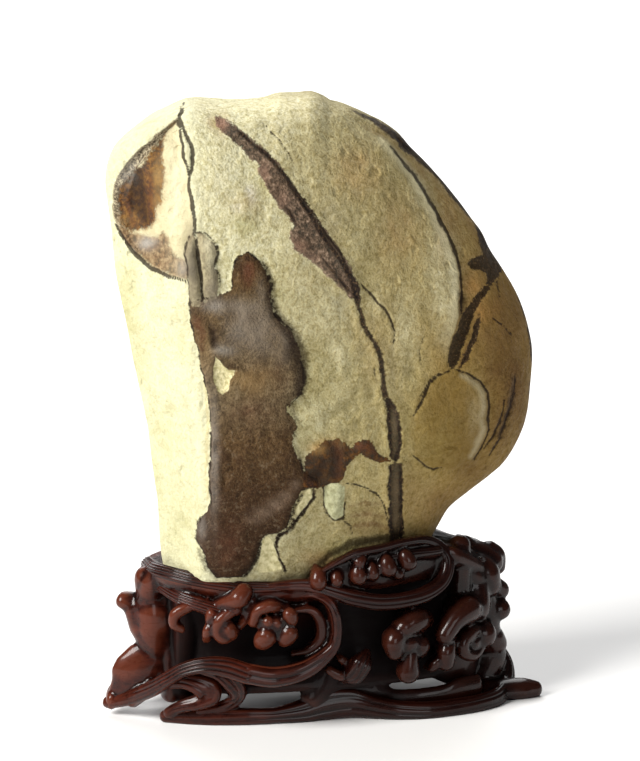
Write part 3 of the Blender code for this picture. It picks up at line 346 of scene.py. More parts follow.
# ---- Noise on the rock: layers of strength, size in millimetres and seed ----
SWELL = [(2.2, 55.0, 1), (1.1, 22.0, 2), (0.5, 9.0, 3)]
SWELL_DEPTH = 30.0
SWELL_REACH = 100.0
GRAIN = [(0.45, 9.0, 4), (0.36, 4.2, 5), (0.16, 1.9, 6)]
DENT_SIZE, DENT_SEED, DENT_DEPTH = 6.5, 7, 0.9
PITS = [(1.0, 3.6, 34), (0.6, 11.0, 35)]
PIT_DEPTH = 1.3
RAGGED = [(1.1, 4.5, 11), (0.5, 1.7, 12)]
COLUMN_WOBBLE = [(1.3, 5.0, 21), (0.6, 2.2, 22)]
ROW_WOBBLE = [(1.3, 5.0, 23)]
ACROSS_WOBBLE = [(0.8, 5.0, 21)]
UP_WOBBLE = [(0.8, 5.0, 24)]
STRAYING = [(5.0, 14.0, 32), (2.0, 4.0, 33)]

# ---- How far the markings reach, in millimetres ----
FAR_AWAY = 1e9
MARK_REACH = 9.0
MARK_DEPTH = 20.0
# Where markings close off: the show side's by how far behind the middle plane a place lies, and the
# back's by how far before it. Toward the top the show side's reach further back.
SHOW_CLOSES = (1.0, 9.0)
BACK_CLOSES = (-13.0, -6.0)
TOP_HEIGHTS = (262.0, 284.0)
TOP_STRAYING = 14.0
# How far from the middle plane relief comes in: on the show side, on its flattest part and behind.
SHOW_DEPTHS = (4.0, 14.0)
FLAT_DEPTHS = (8.0, 26.0)
BACK_DEPTHS = (8.0, 18.0)
CORE_THINNING = 2.6
THINNING_NOISE = (16.0, 31)
THINNING_COLUMNS = (455, 485)
FIGURE_LINE_HALF, FIGURE_LINE_UNEVEN, FIGURE_LINE_INSET = 0.3, 0.6, 0.2
LEDGE_ROWS = (112, 150, 330, 372)
LEDGE_ENDS = -5.0
BACK_LEDGE_LOW, BACK_LEDGE_RISE, BACK_LEDGE_ACROSS = -8.0, 8.8, (0.0, 80.0)
PATCH_NOISE = (6.0, 25)

# ---- Relief of the markings, in millimetres: marking, height and how uneven it is, how ragged its
# edge is, and the depths inside it between which it rises ----
DISH_RELIEF = [("fan", -3.0, 0.0, 0.0, -0.5, 2.5), ("heart", -1.0, -0.4, 0.5, -0.6, 2.0),
               ("rim", 0.0, 0.5, 0.0, -0.5, 1.0)]
SHOW_RELIEF = [("whole_figure", 2.1, 0.3, 0.35, -0.7, 1.3), ("pale", -1.5, 0.0, 0.0, -0.4, 0.8),
               ("fingers", 0.5, 0.0, 0.0, 0.4, 3.0), ("band", 0.3, 0.8, 0.4, -0.5, 1.0),
               ("arch", 0.9, 0.0, 0.3, -0.5, 1.2), ("dark", -1.3, 0.0, 0.2, -0.5, 1.2),
               ("pebble", 1.7, 0.0, 0.0, -0.3, 2.6), ("figure", 0.0, 0.35, 0.0, 0.0, 2.0)]
CUT_RELIEF = [("core", -0.9, -0.3, 0.3, -0.4, 1.6), ("lines", -0.75, 0.0, 0.0, -0.5, 0.5),
              ("shade", -0.8, 0.0, 0.0, -0.5, 1.5)]
BACK_RELIEF = [("figure", 1.6, 0.0, 0.3, -0.8, 1.6)]
HEART_HOLLOW_DEPTH = 2.2
# The ledge's drop past its line, and the swell before it; the inset's step and its swollen middle;
# the trough that the vein's core lies in. Windows are in millimetres, or columns and rows.
LEDGE_DROP, LEDGE_STEP = 2.8, (-0.3, 1.6, 3, 15)
LEDGE_SWELL, SWELL_BACK, SWELL_WIDTH = 1.5, 5.5, 6.5
INSET_DROP, INSET_STEP, INSET_STEP_COLUMNS, INSET_STEP_ROWS = 1.3, (-1.0, 1.0, 2, 10), (440, 470), (365, 385)
INSET_SWELL, INSET_COLUMNS = (-0.4, 3.0), (400, 470)
CORE_TROUGH, TROUGH_BACK, TROUGH_WIDTH, TROUGH_COLUMNS = 1.3, 5.0, 5.0, (270, 330)

# Soft spots on the sheet: column, row, reach across and reach down.
HEART_HOLLOW = (139, 202, 15, 30)
PITTED_SPOT = (330, 385, 48, 72)
# The flank's edge: its column at a row, and how far it moves for each row below that.
FLANK_COLUMN, FLANK_ROW, FLANK_LEAN = 195, 100, 0.045
# The ground's tone darkens to the right, more so low down on the right, and a little at random: partly the
# stone's own colour and partly painted shade, as the light falls from the left.
TONE_COLUMNS, TONE_CORNER = (190, 500), (480, 760)
TONE_SHARE, TONE_CORNER_SHARE, TONE_NOISE = 0.55, 0.35, [(0.06, 30.0, 8)]


# ---------------------------------------------------------------- measuring
def sheet_place(points):
    """Where points of the object fall on the sheet, in its columns and rows."""
    rays = points - EYE
    scale = EYE_DISTANCE / -(rays @ SHEET_OUT)
    across = (rays @ SHEET_RIGHT) * scale
    up = SHEET_AIM + (rays @ SHEET_UP) * scale
    return MIDDLE_COLUMN + across / SQUARE, FLOOR_ROW - up / SQUARE


def onto_middle_plane(outline):
    """Sheet points carried along the sight lines onto the upright plane y = 0."""
    sheet = np.array(outline, float)
    places = SHEET_MIDDLE + sheet[:, :1] * SHEET_RIGHT + (sheet[:, 1:] - SHEET_AIM) * SHEET_UP
    rays = places - EYE
    reach = -EYE[1] / rays[:, 1]
    return EYE + rays * reach[:, None]


def smooth_path(points, steps, closed=False):
    """A Catmull-Rom curve through the points."""
    knots = np.array(points, float)
    if closed:
        knots = np.vstack([knots[-1:], knots, knots[:2]])
    else:
        knots = np.vstack([2 * knots[0] - knots[1], knots, 2 * knots[-1] - knots[-2]])
    share = (np.arange(steps) / steps)[:, None]
    runs = []
    for index in range(1, len(knots) - 2):
        before, start, end, after = knots[index - 1:index + 3]
        runs.append(0.5 * (2 * start + (end - before) * share
                           + (2 * before - 5 * start + 4 * end - after) * share ** 2
                           + (3 * start - before - 3 * end + after) * share ** 3))
    if not closed:
        runs.append(knots[-2:-1])
    return np.vstack(runs)


def nearest_on_run(across, down, start, end):
    """How far along a straight run each place falls, 0 to 1, and how far it lies from the run."""
    run_x, run_y = end[0] - start[0], end[1] - start[1]
    share = ((across - start[0]) * run_x + (down - start[1]) * run_y) / (run_x ** 2 + run_y ** 2)
    share = np.clip(share, 0.0, 1.0)
    return share, np.hypot(across - start[0] - share * run_x, down - start[1] - share * run_y)


def distance_to_line(across, down, line):
    best = np.full(across.shape, FAR_AWAY)
    for start, end in zip(line[:-1], line[1:]):
        best = np.minimum(best, nearest_on_run(across, down, start, end)[1])
    return best


def depth_inside(across, down, outline):
    """Distance inside a closed outline; negative outside it."""
    ring = list(outline) + [outline[0]]
    inside = np.zeros(across.shape, bool)
    for (x0, y0), (x1, y1) in zip(ring[:-1], ring[1:]):
        if y0 == y1:
            continue
        crosses = (down >= min(y0, y1)) & (down < max(y0, y1))
        inside ^= crosses & (across < x0 + (down - y0) * (x1 - x0) / (y1 - y0))
    return np.where(inside, 1.0, -1.0) * distance_to_line(across, down, ring)


def stroke_depth(across, down, stroke):
    """How far inside a stroke of changing width each place lies."""
    best = np.full(across.shape, -FAR_AWAY)
    for start, end in zip(stroke[:-1], stroke[1:]):
        share, away = nearest_on_run(across, down, start, end)
        best = np.maximum(best, start[2] + (end[2] - start[2]) * share - away)
    return best


def tapered(half, line):
    """A line as a stroke that thins toward its ends."""
    turns = np.linspace(0.15, math.pi - 0.15, len(line))
    return [(x, y, half * (0.45 + 0.65 * math.sin(turn))) for (x, y), turn in zip(line, turns)]


def deepest(across, down, outlines):
    return np.max([depth_inside(across, down, outline) for outline in outlines], axis=0)


def widest(across, down, strokes):
    return np.max([stroke_depth(across, down, stroke) for stroke in strokes], axis=0)


def ease(value, start, end):
    """Goes smoothly from 0 to 1 as the value goes from start to end."""
    share = np.clip((value - start) / (end - start), 0.0, 1.0)
    return share * share * (3.0 - 2.0 * share)


def within(value, start, full, last, end):
    """Rises from 0 at start to 1 at full, and falls again from last to end."""
    return ease(value, start, full) * (1 - ease(value, last, end))


def soft_spot(column, row, x, y, wide, high):
    """1 at the middle of a soft round spot, fading with its reach across and down."""
    return np.exp(-((column - x) / wide) ** 2 - ((row - y) / high) ** 2)


def lumps(points, size, seed):
    """Smooth seeded noise, about -1 to 1."""
    shift = Vector((seed * 17.3, seed * 5.1, seed * 9.7))
    return np.array([noise.noise(Vector(point) / size + shift) for point in points])


def layered(points, layers):
    """Layers of noise, each with its strength, size and seed, added up."""
    return sum(strength * lumps(points, size, seed) for strength, size, seed in layers)


def keep_values(mesh, name, values):
    """One value or colour for each vertex, kept on the mesh for its finish to read."""
    kind, field = ("FLOAT", "value") if values.ndim == 1 else ("FLOAT_COLOR", "color")
    store = mesh.attributes.get(name) or mesh.attributes.new(name, kind, "POINT")
    store.data.foreach_set(field, values.astype(np.float32).ravel())


def vertex_values(mesh, kind):
    """Each vertex's place, or the way it faces, as a row of three."""
    values = np.empty(len(mesh.vertices) * 3)
    mesh.vertices.foreach_get(kind, values)
    return values.reshape(-1, 3)


# ---------------------------------------------------------------- the rock's markings
def show_marks(column, row):
    """How far inside each marking of the show side each place lies, in squares of the sheet."""
    marks = {name: deepest(column, row, patches) for name, patches in SHOW_PATCHES.items()}
    for name, strokes in SHOW_STROKES.items():
        marks[name] = widest(column, row, strokes)
    for name, lines in (("lines", DARK_LINES), ("worn", PALE_LINES)):
        marks[name] = widest(column, row, [tapered(*line) for line in lines])
    marks["rim"] = np.minimum(marks["rim"], marks["fan"])
    right_of_ledge = depth_inside(column, row, LEDGE + LEFT_OF_LEDGE) < 0
    marks["ledge"] = distance_to_line(column, row, LEDGE) * np.where(right_of_ledge, 1.0, -1.0)
    return marks


def back_marks(across, up):
    """How far inside each marking of the hidden side each place lies, in millimetres."""
    patches = [smooth_path(patch, 4, closed=True) for patch in BACK_PATCHES]
    return {"core": widest(across, up, BACK_STROKES[:1]), "lines": widest(across, up, BACK_STROKES),
            "figure": deepest(across, up, patches), "band": depth_inside(across, up, BACK_VEIN)}


def lay_stains(across, down, groups, patchy):
    """Soft stains laid one over another: red, green, blue and how much they cover."""
    laid = np.zeros((len(across), 4))
    for code, spots in groups:
        cover = np.zeros(len(across))
        for *spot, strength in spots:
            cover = cover + strength * soft_spot(across, down, *spot) * (1 - cover)
        cover = np.clip(cover * (1 + STAIN_PATCHINESS * patchy), 0, 1)
        keep = laid[:, 3] * (1 - cover)
        total = np.maximum(cover + keep, 1e-6)[:, None]
        laid[:, :3] = (np.array(paint(code)[:3]) * cover[:, None] + laid[:, :3] * keep[:, None]) / total
        laid[:, 3] = cover + keep
    return laid


def all_stains(points, forward, column, row, across, up):
    """The stains under the markings and on them, a few of them painted shade; the hidden side has its own
    under them.
    """
    patchy = lumps(points, *PATCH_NOISE)
    show_share = 1 - ease(-forward, 0.0, 10.0)[:, None] * np.array([0, 0, 0, 1])
    ground = lay_stains(column, row, GROUND_STAINS_AND_SHADE, patchy) * show_share
    hidden = lay_stains(across, up, BACK_STAINS, patchy)
    hidden[:, 3] *= ease(-forward, 10.0, 20.0)
    return {"ground_stain_and_shade": np.where(forward[:, None] > -10.0, ground, hidden),
            "mark_stain_and_shade": lay_stains(column, row, MARK_STAINS_AND_SHADE, patchy) * show_share}


def closing(amount):
    """A limit on a marking's depth, wide open at 0 and shut at 1."""
    return MARK_REACH - 2 * MARK_REACH * amount


def measure_marks(points, forward, ragged):
    """Each marking at each place: how deep inside it the place lies, in millimetres."""
    column, row = sheet_place(points)
    column = column + layered(points, COLUMN_WOBBLE)
    row = row + layered(points, ROW_WOBBLE)
    across = points[:, 0] + layered(points, ACROSS_WOBBLE)
    up = points[:, 2] + layered(points, UP_WOBBLE)
    straying = forward + layered(points, STRAYING) + TOP_STRAYING * ease(points[:, 2], *TOP_HEIGHTS)
    show_limit = closing(ease(-straying, *SHOW_CLOSES))
    back_limit = closing(ease(straying, *BACK_CLOSES))
    marks = show_marks(column, row)
    for name in marks:
        marks[name] = np.clip(marks[name] * SQUARE, -MARK_REACH, MARK_DEPTH)
        if name != "ledge":
            marks[name] = np.minimum(marks[name], show_limit)
    thinned = ease(lumps(points, *THINNING_NOISE), -0.1, 0.5) * ease(column, *THINNING_COLUMNS)
    marks["core"] -= CORE_THINNING * thinned
    figure_line = (FIGURE_LINE_HALF + FIGURE_LINE_UNEVEN * ragged
                   - np.abs(marks["figure"] - FIGURE_LINE_INSET))
    marks["lines"] = np.maximum(marks["lines"], np.where(forward > 0, figure_line, -MARK_REACH))
    back_ledge = BACK_LEDGE_LOW + BACK_LEDGE_RISE * ease(across, *BACK_LEDGE_ACROSS)
    marks["ledge"] = np.where(forward > LEDGE_ENDS, marks["ledge"], back_ledge)
    for name, found in back_marks(across, up).items():
        marks[name] = np.maximum(marks[name], np.clip(found, -MARK_REACH, back_limit))
    marks["along"] = within(row, *LEDGE_ROWS)
    marks.update(all_stains(points, forward, column, row, across, up))
    return marks


def raised(marks, ragged, table):
    """The relief that a table of markings gives."""
    return sum((height + uneven * ragged) * ease(marks[name] + fray * ragged, low, high)
               for name, height, uneven, fray, low, high in table)


def mark_relief(points, forward, marks, ragged):
    """How far the markings stand out of, or sink into, the smooth rock."""
    column, row = sheet_place(points)
    show, flat = ease(forward, *SHOW_DEPTHS), ease(forward, *FLAT_DEPTHS)
    back = ease(-forward, *BACK_DEPTHS)
    marks = dict(marks, whole_figure=np.maximum(marks["figure"], marks["fingers"] - 0.4))
    ledge, inset, along = marks["ledge"], marks["inset"], marks["along"]
    relief = raised(marks, ragged, DISH_RELIEF) * flat
    relief -= HEART_HOLLOW_DEPTH * soft_spot(column, row, *HEART_HOLLOW) * flat
    relief += raised(marks, ragged, SHOW_RELIEF)
    relief -= LEDGE_DROP * within(ledge, *LEDGE_STEP) * along
    relief += LEDGE_SWELL * np.exp(-((ledge + SWELL_BACK) / SWELL_WIDTH) ** 2) * along
    relief -= (INSET_DROP * within(-inset, *INSET_STEP) * ease(column, *INSET_STEP_COLUMNS)
               * ease(row, *INSET_STEP_ROWS))
    relief += ease(inset, *INSET_SWELL) * ease(column, *INSET_COLUMNS)
    trough = np.exp(-((marks["core"] + TROUGH_BACK) / TROUGH_WIDTH) ** 2)
    relief -= CORE_TROUGH * trough * ease(column, *TROUGH_COLUMNS)
    relief *= show
    relief += raised(marks, ragged, CUT_RELIEF) * np.maximum(show, back)
    return relief + raised(marks, ragged, BACK_RELIEF) * back


# ---------------------------------------------------------------- the rock
def rock_reach(angles):
    """How far the rock's outline lies from its centre, each way round."""
    edge = onto_middle_plane(smooth_path(ROCK_OUTLINE, 6, closed=True))
    across = edge[:, 0] - ROCK_CENTRE[0]
    up = edge[:, 2] - ROCK_CENTRE[1]
    around = np.arctan2(up, across)
    order = np.argsort(around)
    return np.interp(angles, around[order], np.hypot(across, up)[order], period=2 * math.pi)


def rock_points(ways):
    """The smooth rock's surface in millimetres, for unit directions from its centre."""
    flat = np.hypot(ways[:, 0], ways[:, 2])
    angles = np.arctan2(ways[:, 2], ways[:, 0])
    lean = ease(ways[:, 0], -0.4, 0.6)
    fullness = ROCK_LEFT_FULLNESS + (ROCK_RIGHT_FULLNESS - ROCK_LEFT_FULLNESS) * lean
    share = flat ** (2.0 / fullness)
    deep = np.abs(ways[:, 1]) ** (2.0 / fullness)
    front = ways[:, 1] < 0
    forward = deep * np.where(front, ROCK_FRONT_DEPTH, ROCK_BACK_DEPTH)
    reach = rock_reach(angles) * share
    across = ROCK_CENTRE[0] + reach * np.cos(angles)
    up = ROCK_CENTRE[1] + reach * np.sin(angles)
    below_top = FACE_TOP_HEIGHT - up
    face = ((FACE_TOP_SLOPE + FACE_SLOPE_GAIN * below_top)
            * (across - FACE_TOP_ACROSS - FACE_LEAN * below_top))
    face = np.maximum(face, 1e-3)
    cut = (np.maximum(forward, 1e-6) ** -EDGE_SHARPNESS + face ** -EDGE_SHARPNESS) \
        ** (-1.0 / EDGE_SHARPNESS)
    forward = np.where(front, cut, -forward)
    points = np.stack([across, np.zeros_like(across), up], 1) + forward[:, None] * TOWARD_EYE
    return points, forward


def on_show_side(at):
    return at.y < -BLANK_EDGE


def on_back(at):
    return at.y > BLANK_EDGE


def on_show_half_of_top(at):
    return at.z > BLANK_EDGE and at.y < -0.25


def rock_blank():
    """A finely cut cube, closest on the show side, and its corners as directions from its centre."""
    bpy.ops.mesh.primitive_cube_add(size=2.0)
    rock = bpy.context.object
    rock.name = rock.data.name = "rock"
    bpy.ops.object.mode_set(mode="EDIT")
    bpy.ops.mesh.select_all(action="SELECT")
    bpy.ops.mesh.subdivide(number_cuts=BLANK_CUTS)
    bpy.ops.object.mode_set(mode="OBJECT")
    shape = bmesh.new()
    shape.from_mesh(rock.data)
    for wanted in (on_show_side, on_show_side, on_back, on_show_half_of_top):
        chosen = [face for face in shape.faces if wanted(face.calc_center_median())]
        edges = list({edge for face in chosen for edge in face.edges})
        bmesh.ops.subdivide_edges(shape, edges=edges, cuts=1, use_grid_fill=True)
    shape.to_mesh(rock.data)
    shape.free()
    ways = np.tan(vertex_values(rock.data, "co") * math.pi / 4)
    ways[:, 1] *= BLANK_FLATNESS
    return rock, ways / np.linalg.norm(ways, axis=1)[:, None]


def rock_grain(points, marks):
    """The skin of the rock: its grain, its dents and the pits of its middle."""
    grain = layered(points, GRAIN) - DENT_DEPTH * ease(lumps(points, DENT_SIZE, DENT_SEED), 0.42, 0.62)
    return grain - PIT_DEPTH * marks["pits"] * (1 - ease(marks["figure"], -2.0, 0.0))


def make_rock(finish):
    """The blank drawn out into the rock, with its markings raised, sunk and kept for the finish."""
    rock, ways = rock_blank()
    points, forward = rock_points(ways)
    centre = np.array([ROCK_CENTRE[0], 0.0, ROCK_CENTRE[1]])
    swell = layered(points, SWELL) * np.clip(np.abs(forward) / SWELL_DEPTH, 0.1, 1.0)
    points = points + (points - centre) / SWELL_REACH * swell[:, None]
    ragged = layered(points, RAGGED)
    marks = measure_marks(points, forward, ragged)
    pitted = soft_spot(*sheet_place(points), *PITTED_SPOT) * ease(forward, *SHOW_DEPTHS)
    marks["pits"] = pitted * ease(layered(points, PITS), -0.05, 0.3)
    relief = mark_relief(points, forward, marks, ragged) + rock_grain(points, marks)
    points = points + relief[:, None] * TOWARD_EYE
    column, row = sheet_place(points)
    # Tone and painted shade: darker to the right, partly the stone's own colour and partly shade.
    marks["tone_and_shade"] = (TONE_SHARE * ease(column, *TONE_COLUMNS)
                     + TONE_CORNER_SHARE * ease(column + 0.5 * row, *TONE_CORNER)
                     + layered(points, TONE_NOISE))
    marks["flank"] = (FLANK_COLUMN + FLANK_LEAN * (row - FLANK_ROW) - column) * SQUARE
    rock.data.vertices.foreach_set("co", (points * MILLIMETRE).ravel())
    for name, values in marks.items():
        keep_values(rock.data, name, values)
    rock.data.shade_smooth()
    rock.data.update()
    rock.data.materials.append(finish)
    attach(rock, "root")
    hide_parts("stone")


# ---------------------------------------------------------------- the stand
BODY_HALF_LENGTH = 84.0
BODY_HALF_DEPTH = 40.0
BODY_SQUARENESS = 2.6
BODY_UNDERSIDE = 15.0
BODY_CORNERS = 192
RIM_LOW = 71.0
RIM_LEFT_RISE = 5.0
RIM_RIGHT_RISE = 12.0
BACK_RIM = 74.0
BACK_RIM_RISE = 5.0
BACK_RIM_FALL = 7.0
# The sunk wall behind the small balls: how far it is set back, and its reach along, forward and up.
CUP_SETBACK, CUP_ALONG, CUP_FORWARD, CUP_UP = 7.0, (-4.0, 12.0, 44.0, 58.0), (10.0, 30.0), (0.6, 0.8)
DEEPEST_INSET = -36.0
CARVING_GRAIN = 0.9
CARVED_TRIANGLES = 190000
STEPS_PER_POINT = 8
BAND_SIDES = 20
RIDGE_SIDES = 7
END_TURNS = (20, 40, 60, 80)
RIDGE_DRIFT, DRIFT_PACE = 0.1, 0.17
# The hollow values kept on the ribbons: their faces, and more in their grooves, which the wood's painted
# shade darkens.
LEVEL_HOLLOW, DEEPEST_GROOVE, GROOVE_HOLLOW = 0.36, 0.5, 1.1
RIBBON_SHRINK = 0.97
RIBBON_PROUD = 1.2
FLOOR_CUT = 0.00005
SOFTENING_ROUNDS, KEPT_SHARE, NEAR_SHARE = 14, 0.2, 0.8
HOLLOW_DEPTH = 1.6
# The gap behind the left column, painted near black as shade: its reach along, across and up.
GAP_ALONG, GAP_ACROSS, GAP_UP = (-78, -75, -52, -44), (-29, -25, 6, 14), (9, 14, 60, 65)
# The seat that the rock hides, painted near black as shade: how far inside the oval it lies, and its reach
# above the rim.
SEAT_INSIDE, SEAT_UP = (5, 9), (-7, -4, 1, 4)
# The body's sunk wall, painted near black as shade: how far inside the oval it lies, and its reach up
# from the floor and below the rim. Its painted shade is lighter at the right of the cup and beside the
# shell.
WALL_INSIDE, WALL_UP, WALL_BELOW_RIM = (-1, 7), (8, 14), (-9, -4)
CUP_SHARE, CUP_SHARE_ALONG, CUP_SHARE_UP = 0.7, (20, 40), (68, 76)
SHELL_SHARE, SHELL_LEFT, SHELL_RIGHT, SHELL_UP = 0.5, (-32, -20), (4, 10), (42, 50)
# The body's side, as set-back from the reference oval and share of the way up to the rim.
BODY_SIDE = [
    (-40, 0.0), (-8, 0.0), (-4, 0.04), (-7, 0.16), (-10, 0.32), (-10, 0.5), (-7, 0.66),
    (-3, 0.78), (2, 0.86), (4.5, 0.92), (4, 0.97), (1, 1.0), (-12, 1.0), (-40, 0.98)]


def rim_height(x, y):
    """The height of the stand's rim, which dips at the ends and rises at the front's right."""
    front = (RIM_LOW + RIM_LEFT_RISE * ease(-x, 40.0, 84.0) + RIM_RIGHT_RISE * ease(x, -18.0, 18.0)
             - RIM_RIGHT_RISE * ease(x, 56.0, 82.0))
    back = BACK_RIM + BACK_RIM_RISE * ease(x, -20.0, 30.0) - BACK_RIM_FALL * ease(x, 50.0, 82.0)
    return front + (back - front) * ease(y, -15.0, 20.0)


def oval_point(angle, inset):
    """A point of the body's oval, moved out by inset."""
    power = 2.0 / BODY_SQUARENESS
    x = (BODY_HALF_LENGTH + inset) * math.copysign(abs(math.cos(angle)) ** power, math.cos(angle))
    y = (BODY_HALF_DEPTH + inset) * math.copysign(abs(math.sin(angle)) ** power, math.sin(angle))
    return x, y


def wall_facing(x, y):
    """The way the body's wall faces at a place on it."""
    power = BODY_SQUARENESS - 1.0
    out = Vector((math.copysign(abs(x / BODY_HALF_LENGTH) ** power / BODY_HALF_LENGTH, x),
                  math.copysign(abs(y / BODY_HALF_DEPTH) ** power / BODY_HALF_DEPTH, y), 0.0))
    return out.normalized()


def make_body():
    """A ring of upright profiles round an oval, closed below and above."""
    bpy.ops.mesh.primitive_cylinder_add(vertices=BODY_CORNERS, radius=1.0, depth=2.0,
                                        end_fill_type="NGON")
    body = bpy.context.object
    shape = bmesh.new()
    shape.from_mesh(body.data)
    upright = [edge for edge in shape.edges if abs(edge.verts[0].co.z - edge.verts[1].co.z) > 1.0]
    side = smooth_path(BODY_SIDE, 3)
    bmesh.ops.subdivide_edges(shape, edges=upright, cuts=len(side) - 2)
    for vertex in shape.verts:
        inset, share = side[round((vertex.co.z + 1.0) / 2.0 * (len(side) - 1))]
        angle = math.atan2(vertex.co.y, vertex.co.x)
        x, y = oval_point(angle, 0.0)
        cup = within(x, *CUP_ALONG) * ease(-y, *CUP_FORWARD) * ease(share, *CUP_UP)
        x, y = oval_point(angle, max(inset, DEEPEST_INSET) * (1 - cup) + min(inset, -CUP_SETBACK) * cup)
        top = rim_height(x, y)
        vertex.co = Vector((x, y, BODY_UNDERSIDE + share * (top - BODY_UNDERSIDE)))
    shape.to_mesh(body.data)
    shape.free()
    return body


def at_stations(value, count):
    """A width given once, or at even steps along a route, at each station."""
    values = np.atleast_1d(np.array(value, float))
    return np.interp(np.linspace(0, 1, count), np.linspace(0, 1, len(values)), values)


def round_section(sides):
    turns = [2 * math.pi * step / sides for step in range(sides)]
    return [(math.cos(turn), math.sin(turn), 0.0) for turn in turns]


def ridged_section(ridges):
    """Across, outward and groove depth of a section whose face carries parallel ridges."""
    steps = ridges * RIDGE_SIDES
    section = []
    for step in range(steps + 1):
        across = 1 - 2 * step / steps
        crest = abs(math.sin(math.pi * ridges * (across + 1) / 2)) ** 0.85
        section.append((across, (1 - abs(across) ** 3.0) ** 0.5, 1 - crest))
    return section + [(-0.7, -0.8, 0.0), (0.0, -1.0, 0.0), (0.7, -0.8, 0.0)]


def band_rows(path, measures, facing):
    """A ribbon's sections along its path: its place, ways along, across and out, half-thickness,
    depth behind, groove, and how far its ridges drift aside."""
    last = len(path) - 1
    wide, thick, lean, deep, groove = (at_stations(value, len(path)) for value in measures)
    rows = []
    for index, spot in enumerate(path):
        along = Vector(path[min(index + 1, last)] - path[max(index - 1, 0)]).normalized()
        out = wall_facing(spot[0], spot[1]) * (1 - lean[index]) + Vector((0, 0, lean[index]))
        if facing:
            out = Vector(facing)
        out = (out - along * out.dot(along)).normalized()
        rows.append((Vector(spot), along, along.cross(out) * (wide[index] / 2), out,
                     thick[index] / 2, deep[index], groove[index],
                     RIDGE_DRIFT * math.sin(index * DRIFT_PACE)))
    return rows


def rounded_end(row, way):
    """Smaller and smaller sections that round off a ribbon's end: way is 1 onwards, -1 back."""
    spot, along, side, out, half, back, cut, drift = row
    for turn in END_TURNS:
        swing, shrink = math.sin(math.radians(turn)), math.cos(math.radians(turn))
        reach = along * (min(side.length, half) * swing * way)
        yield (spot + reach, along, side * shrink, out, half * shrink, back * shrink, cut * shrink, drift)


def make_band(route, wide, thick, lean=0.0, deep=0.0, facing=None, ridges=0, groove=0.0, name="band"):
    """A closed ribbon along a route: wide along the wall, thick out of it, rounded at its ends.

    lean turns its face upward, 1 being straight up; deep carries its back further in.
    """
    section = ridged_section(ridges) if ridges else round_section(BAND_SIDES)
    rows = band_rows(smooth_path(route, STEPS_PER_POINT), (wide, thick, lean, deep, groove), facing)
    rows = [*reversed([*rounded_end(rows[0], -1)]), *rows, *rounded_end(rows[-1], 1)]
    shape = bmesh.new()
    hollow = shape.verts.layers.float.new("hollow")
    rings = []
    for spot, _, side, out, half, back, cut, drift in rows:
        ring = []
        for across, outward, dip in section:
            reach = half * outward + back * min(outward, 0.0) - cut * dip
            across += drift * (1 - across ** 2) if outward > 0 else 0.0
            vertex = shape.verts.new(spot + side * across + out * reach)
            vertex[hollow] = LEVEL_HOLLOW + min(DEEPEST_GROOVE, GROOVE_HOLLOW * cut * dip)
            ring.append(vertex)
        rings.append(ring)
    for ring, following in zip(rings[:-1], rings[1:]):
        for step in range(len(ring)):
            after = (step + 1) % len(ring)
            shape.faces.new((ring[step], ring[after], following[after], following[step]))
    shape.faces.new(reversed(rings[0]))
    shape.faces.new(rings[-1])
    bmesh.ops.recalc_face_normals(shape, faces=shape.faces)
    mesh = bpy.data.meshes.new(name)
    shape.to_mesh(mesh)
    shape.free()
    band = bpy.data.objects.new(name, mesh)
    bpy.context.scene.collection.objects.link(band)
    return band


def make_knob(route, radius, deep=(6.0, 3.0)):
    """A rounded finger of the carving, rooted in the wall."""
    diameter = np.atleast_1d(np.array(radius, float)) * 2
    return make_band(route, diameter, diameter, deep=deep)


def rim_route(start, end, inset, drop):
    """Points along the rim between two angles in degrees, below its top by drop."""
    route = []
    for angle in np.linspace(math.radians(start), math.radians(end), 12):
        x, y = oval_point(angle, inset)
        route.append((x, y, rim_height(x, y) - drop))
    return route


def half_turned(route):
    return [(-x, -y, z) for x, y, z in route]


SCOOP = [(-22, -40, 66), (-15, -44, 67), (-9, -48, 64), (-6, -50, 58), (-5, -50, 49),
         (-7, -50, 41), (-15, -50, 34), (-24, -50, 30), (-36, -48, 28), (-48, -46, 30)]
SHELL = [(-24, -43, 59), (-17, -44, 59), (-13, -45, 56), (-11, -45, 50), (-12, -45, 44),
         (-17, -44, 39), (-25, -42, 37)]
UPPER_WAVE = [(-13, -44, 77), (-4, -45, 82), (6, -45, 86), (19, -43, 87), (31, -41, 88.5),
              (42, -37, 88), (50, -34, 84),
              (55, -35, 77), (52, -39, 68), (43, -43, 63), (31, -46, 61), (18, -47, 61),
              (5, -47, 64), (-7, -46, 68), (-17, -44, 71), (-27, -43, 71.5), (-36, -40, 71)]
LEFT_SWEEP = [(-48, -46, 30), (-58, -42, 33), (-68, -38, 33.5), (-77, -33, 30.5), (-84, -28, 25),
              (-90, -20, 18), (-96, -11, 12), (-102, -4, 8), (-107, 1, 6)]
LEFT_SCROLL = [(-97, -8, 9), (-90, -14, 16), (-86, -20, 19.5), (-81, -25, 22), (-76, -28, 23),
               (-70, -30, 22), (-65, -31, 19.5), (-64, -30, 16), (-68, -28, 12.5),
               (-74, -25, 10), (-78, -22, 7.5), (-81, -20, 5)]
SPIRAL = [(-68, -37, 31), (-61, -38, 28), (-56, -38, 23), (-52, -35, 17), (-53, -31, 12),
          (-59, -28, 8), (-67, -25, 6)]
OUTER_SPIRAL = [(-59, -40, 32), (-54, -40, 27), (-50, -38, 21), (-49, -34, 15), (-52, -30, 10),
                (-58, -27, 6)]
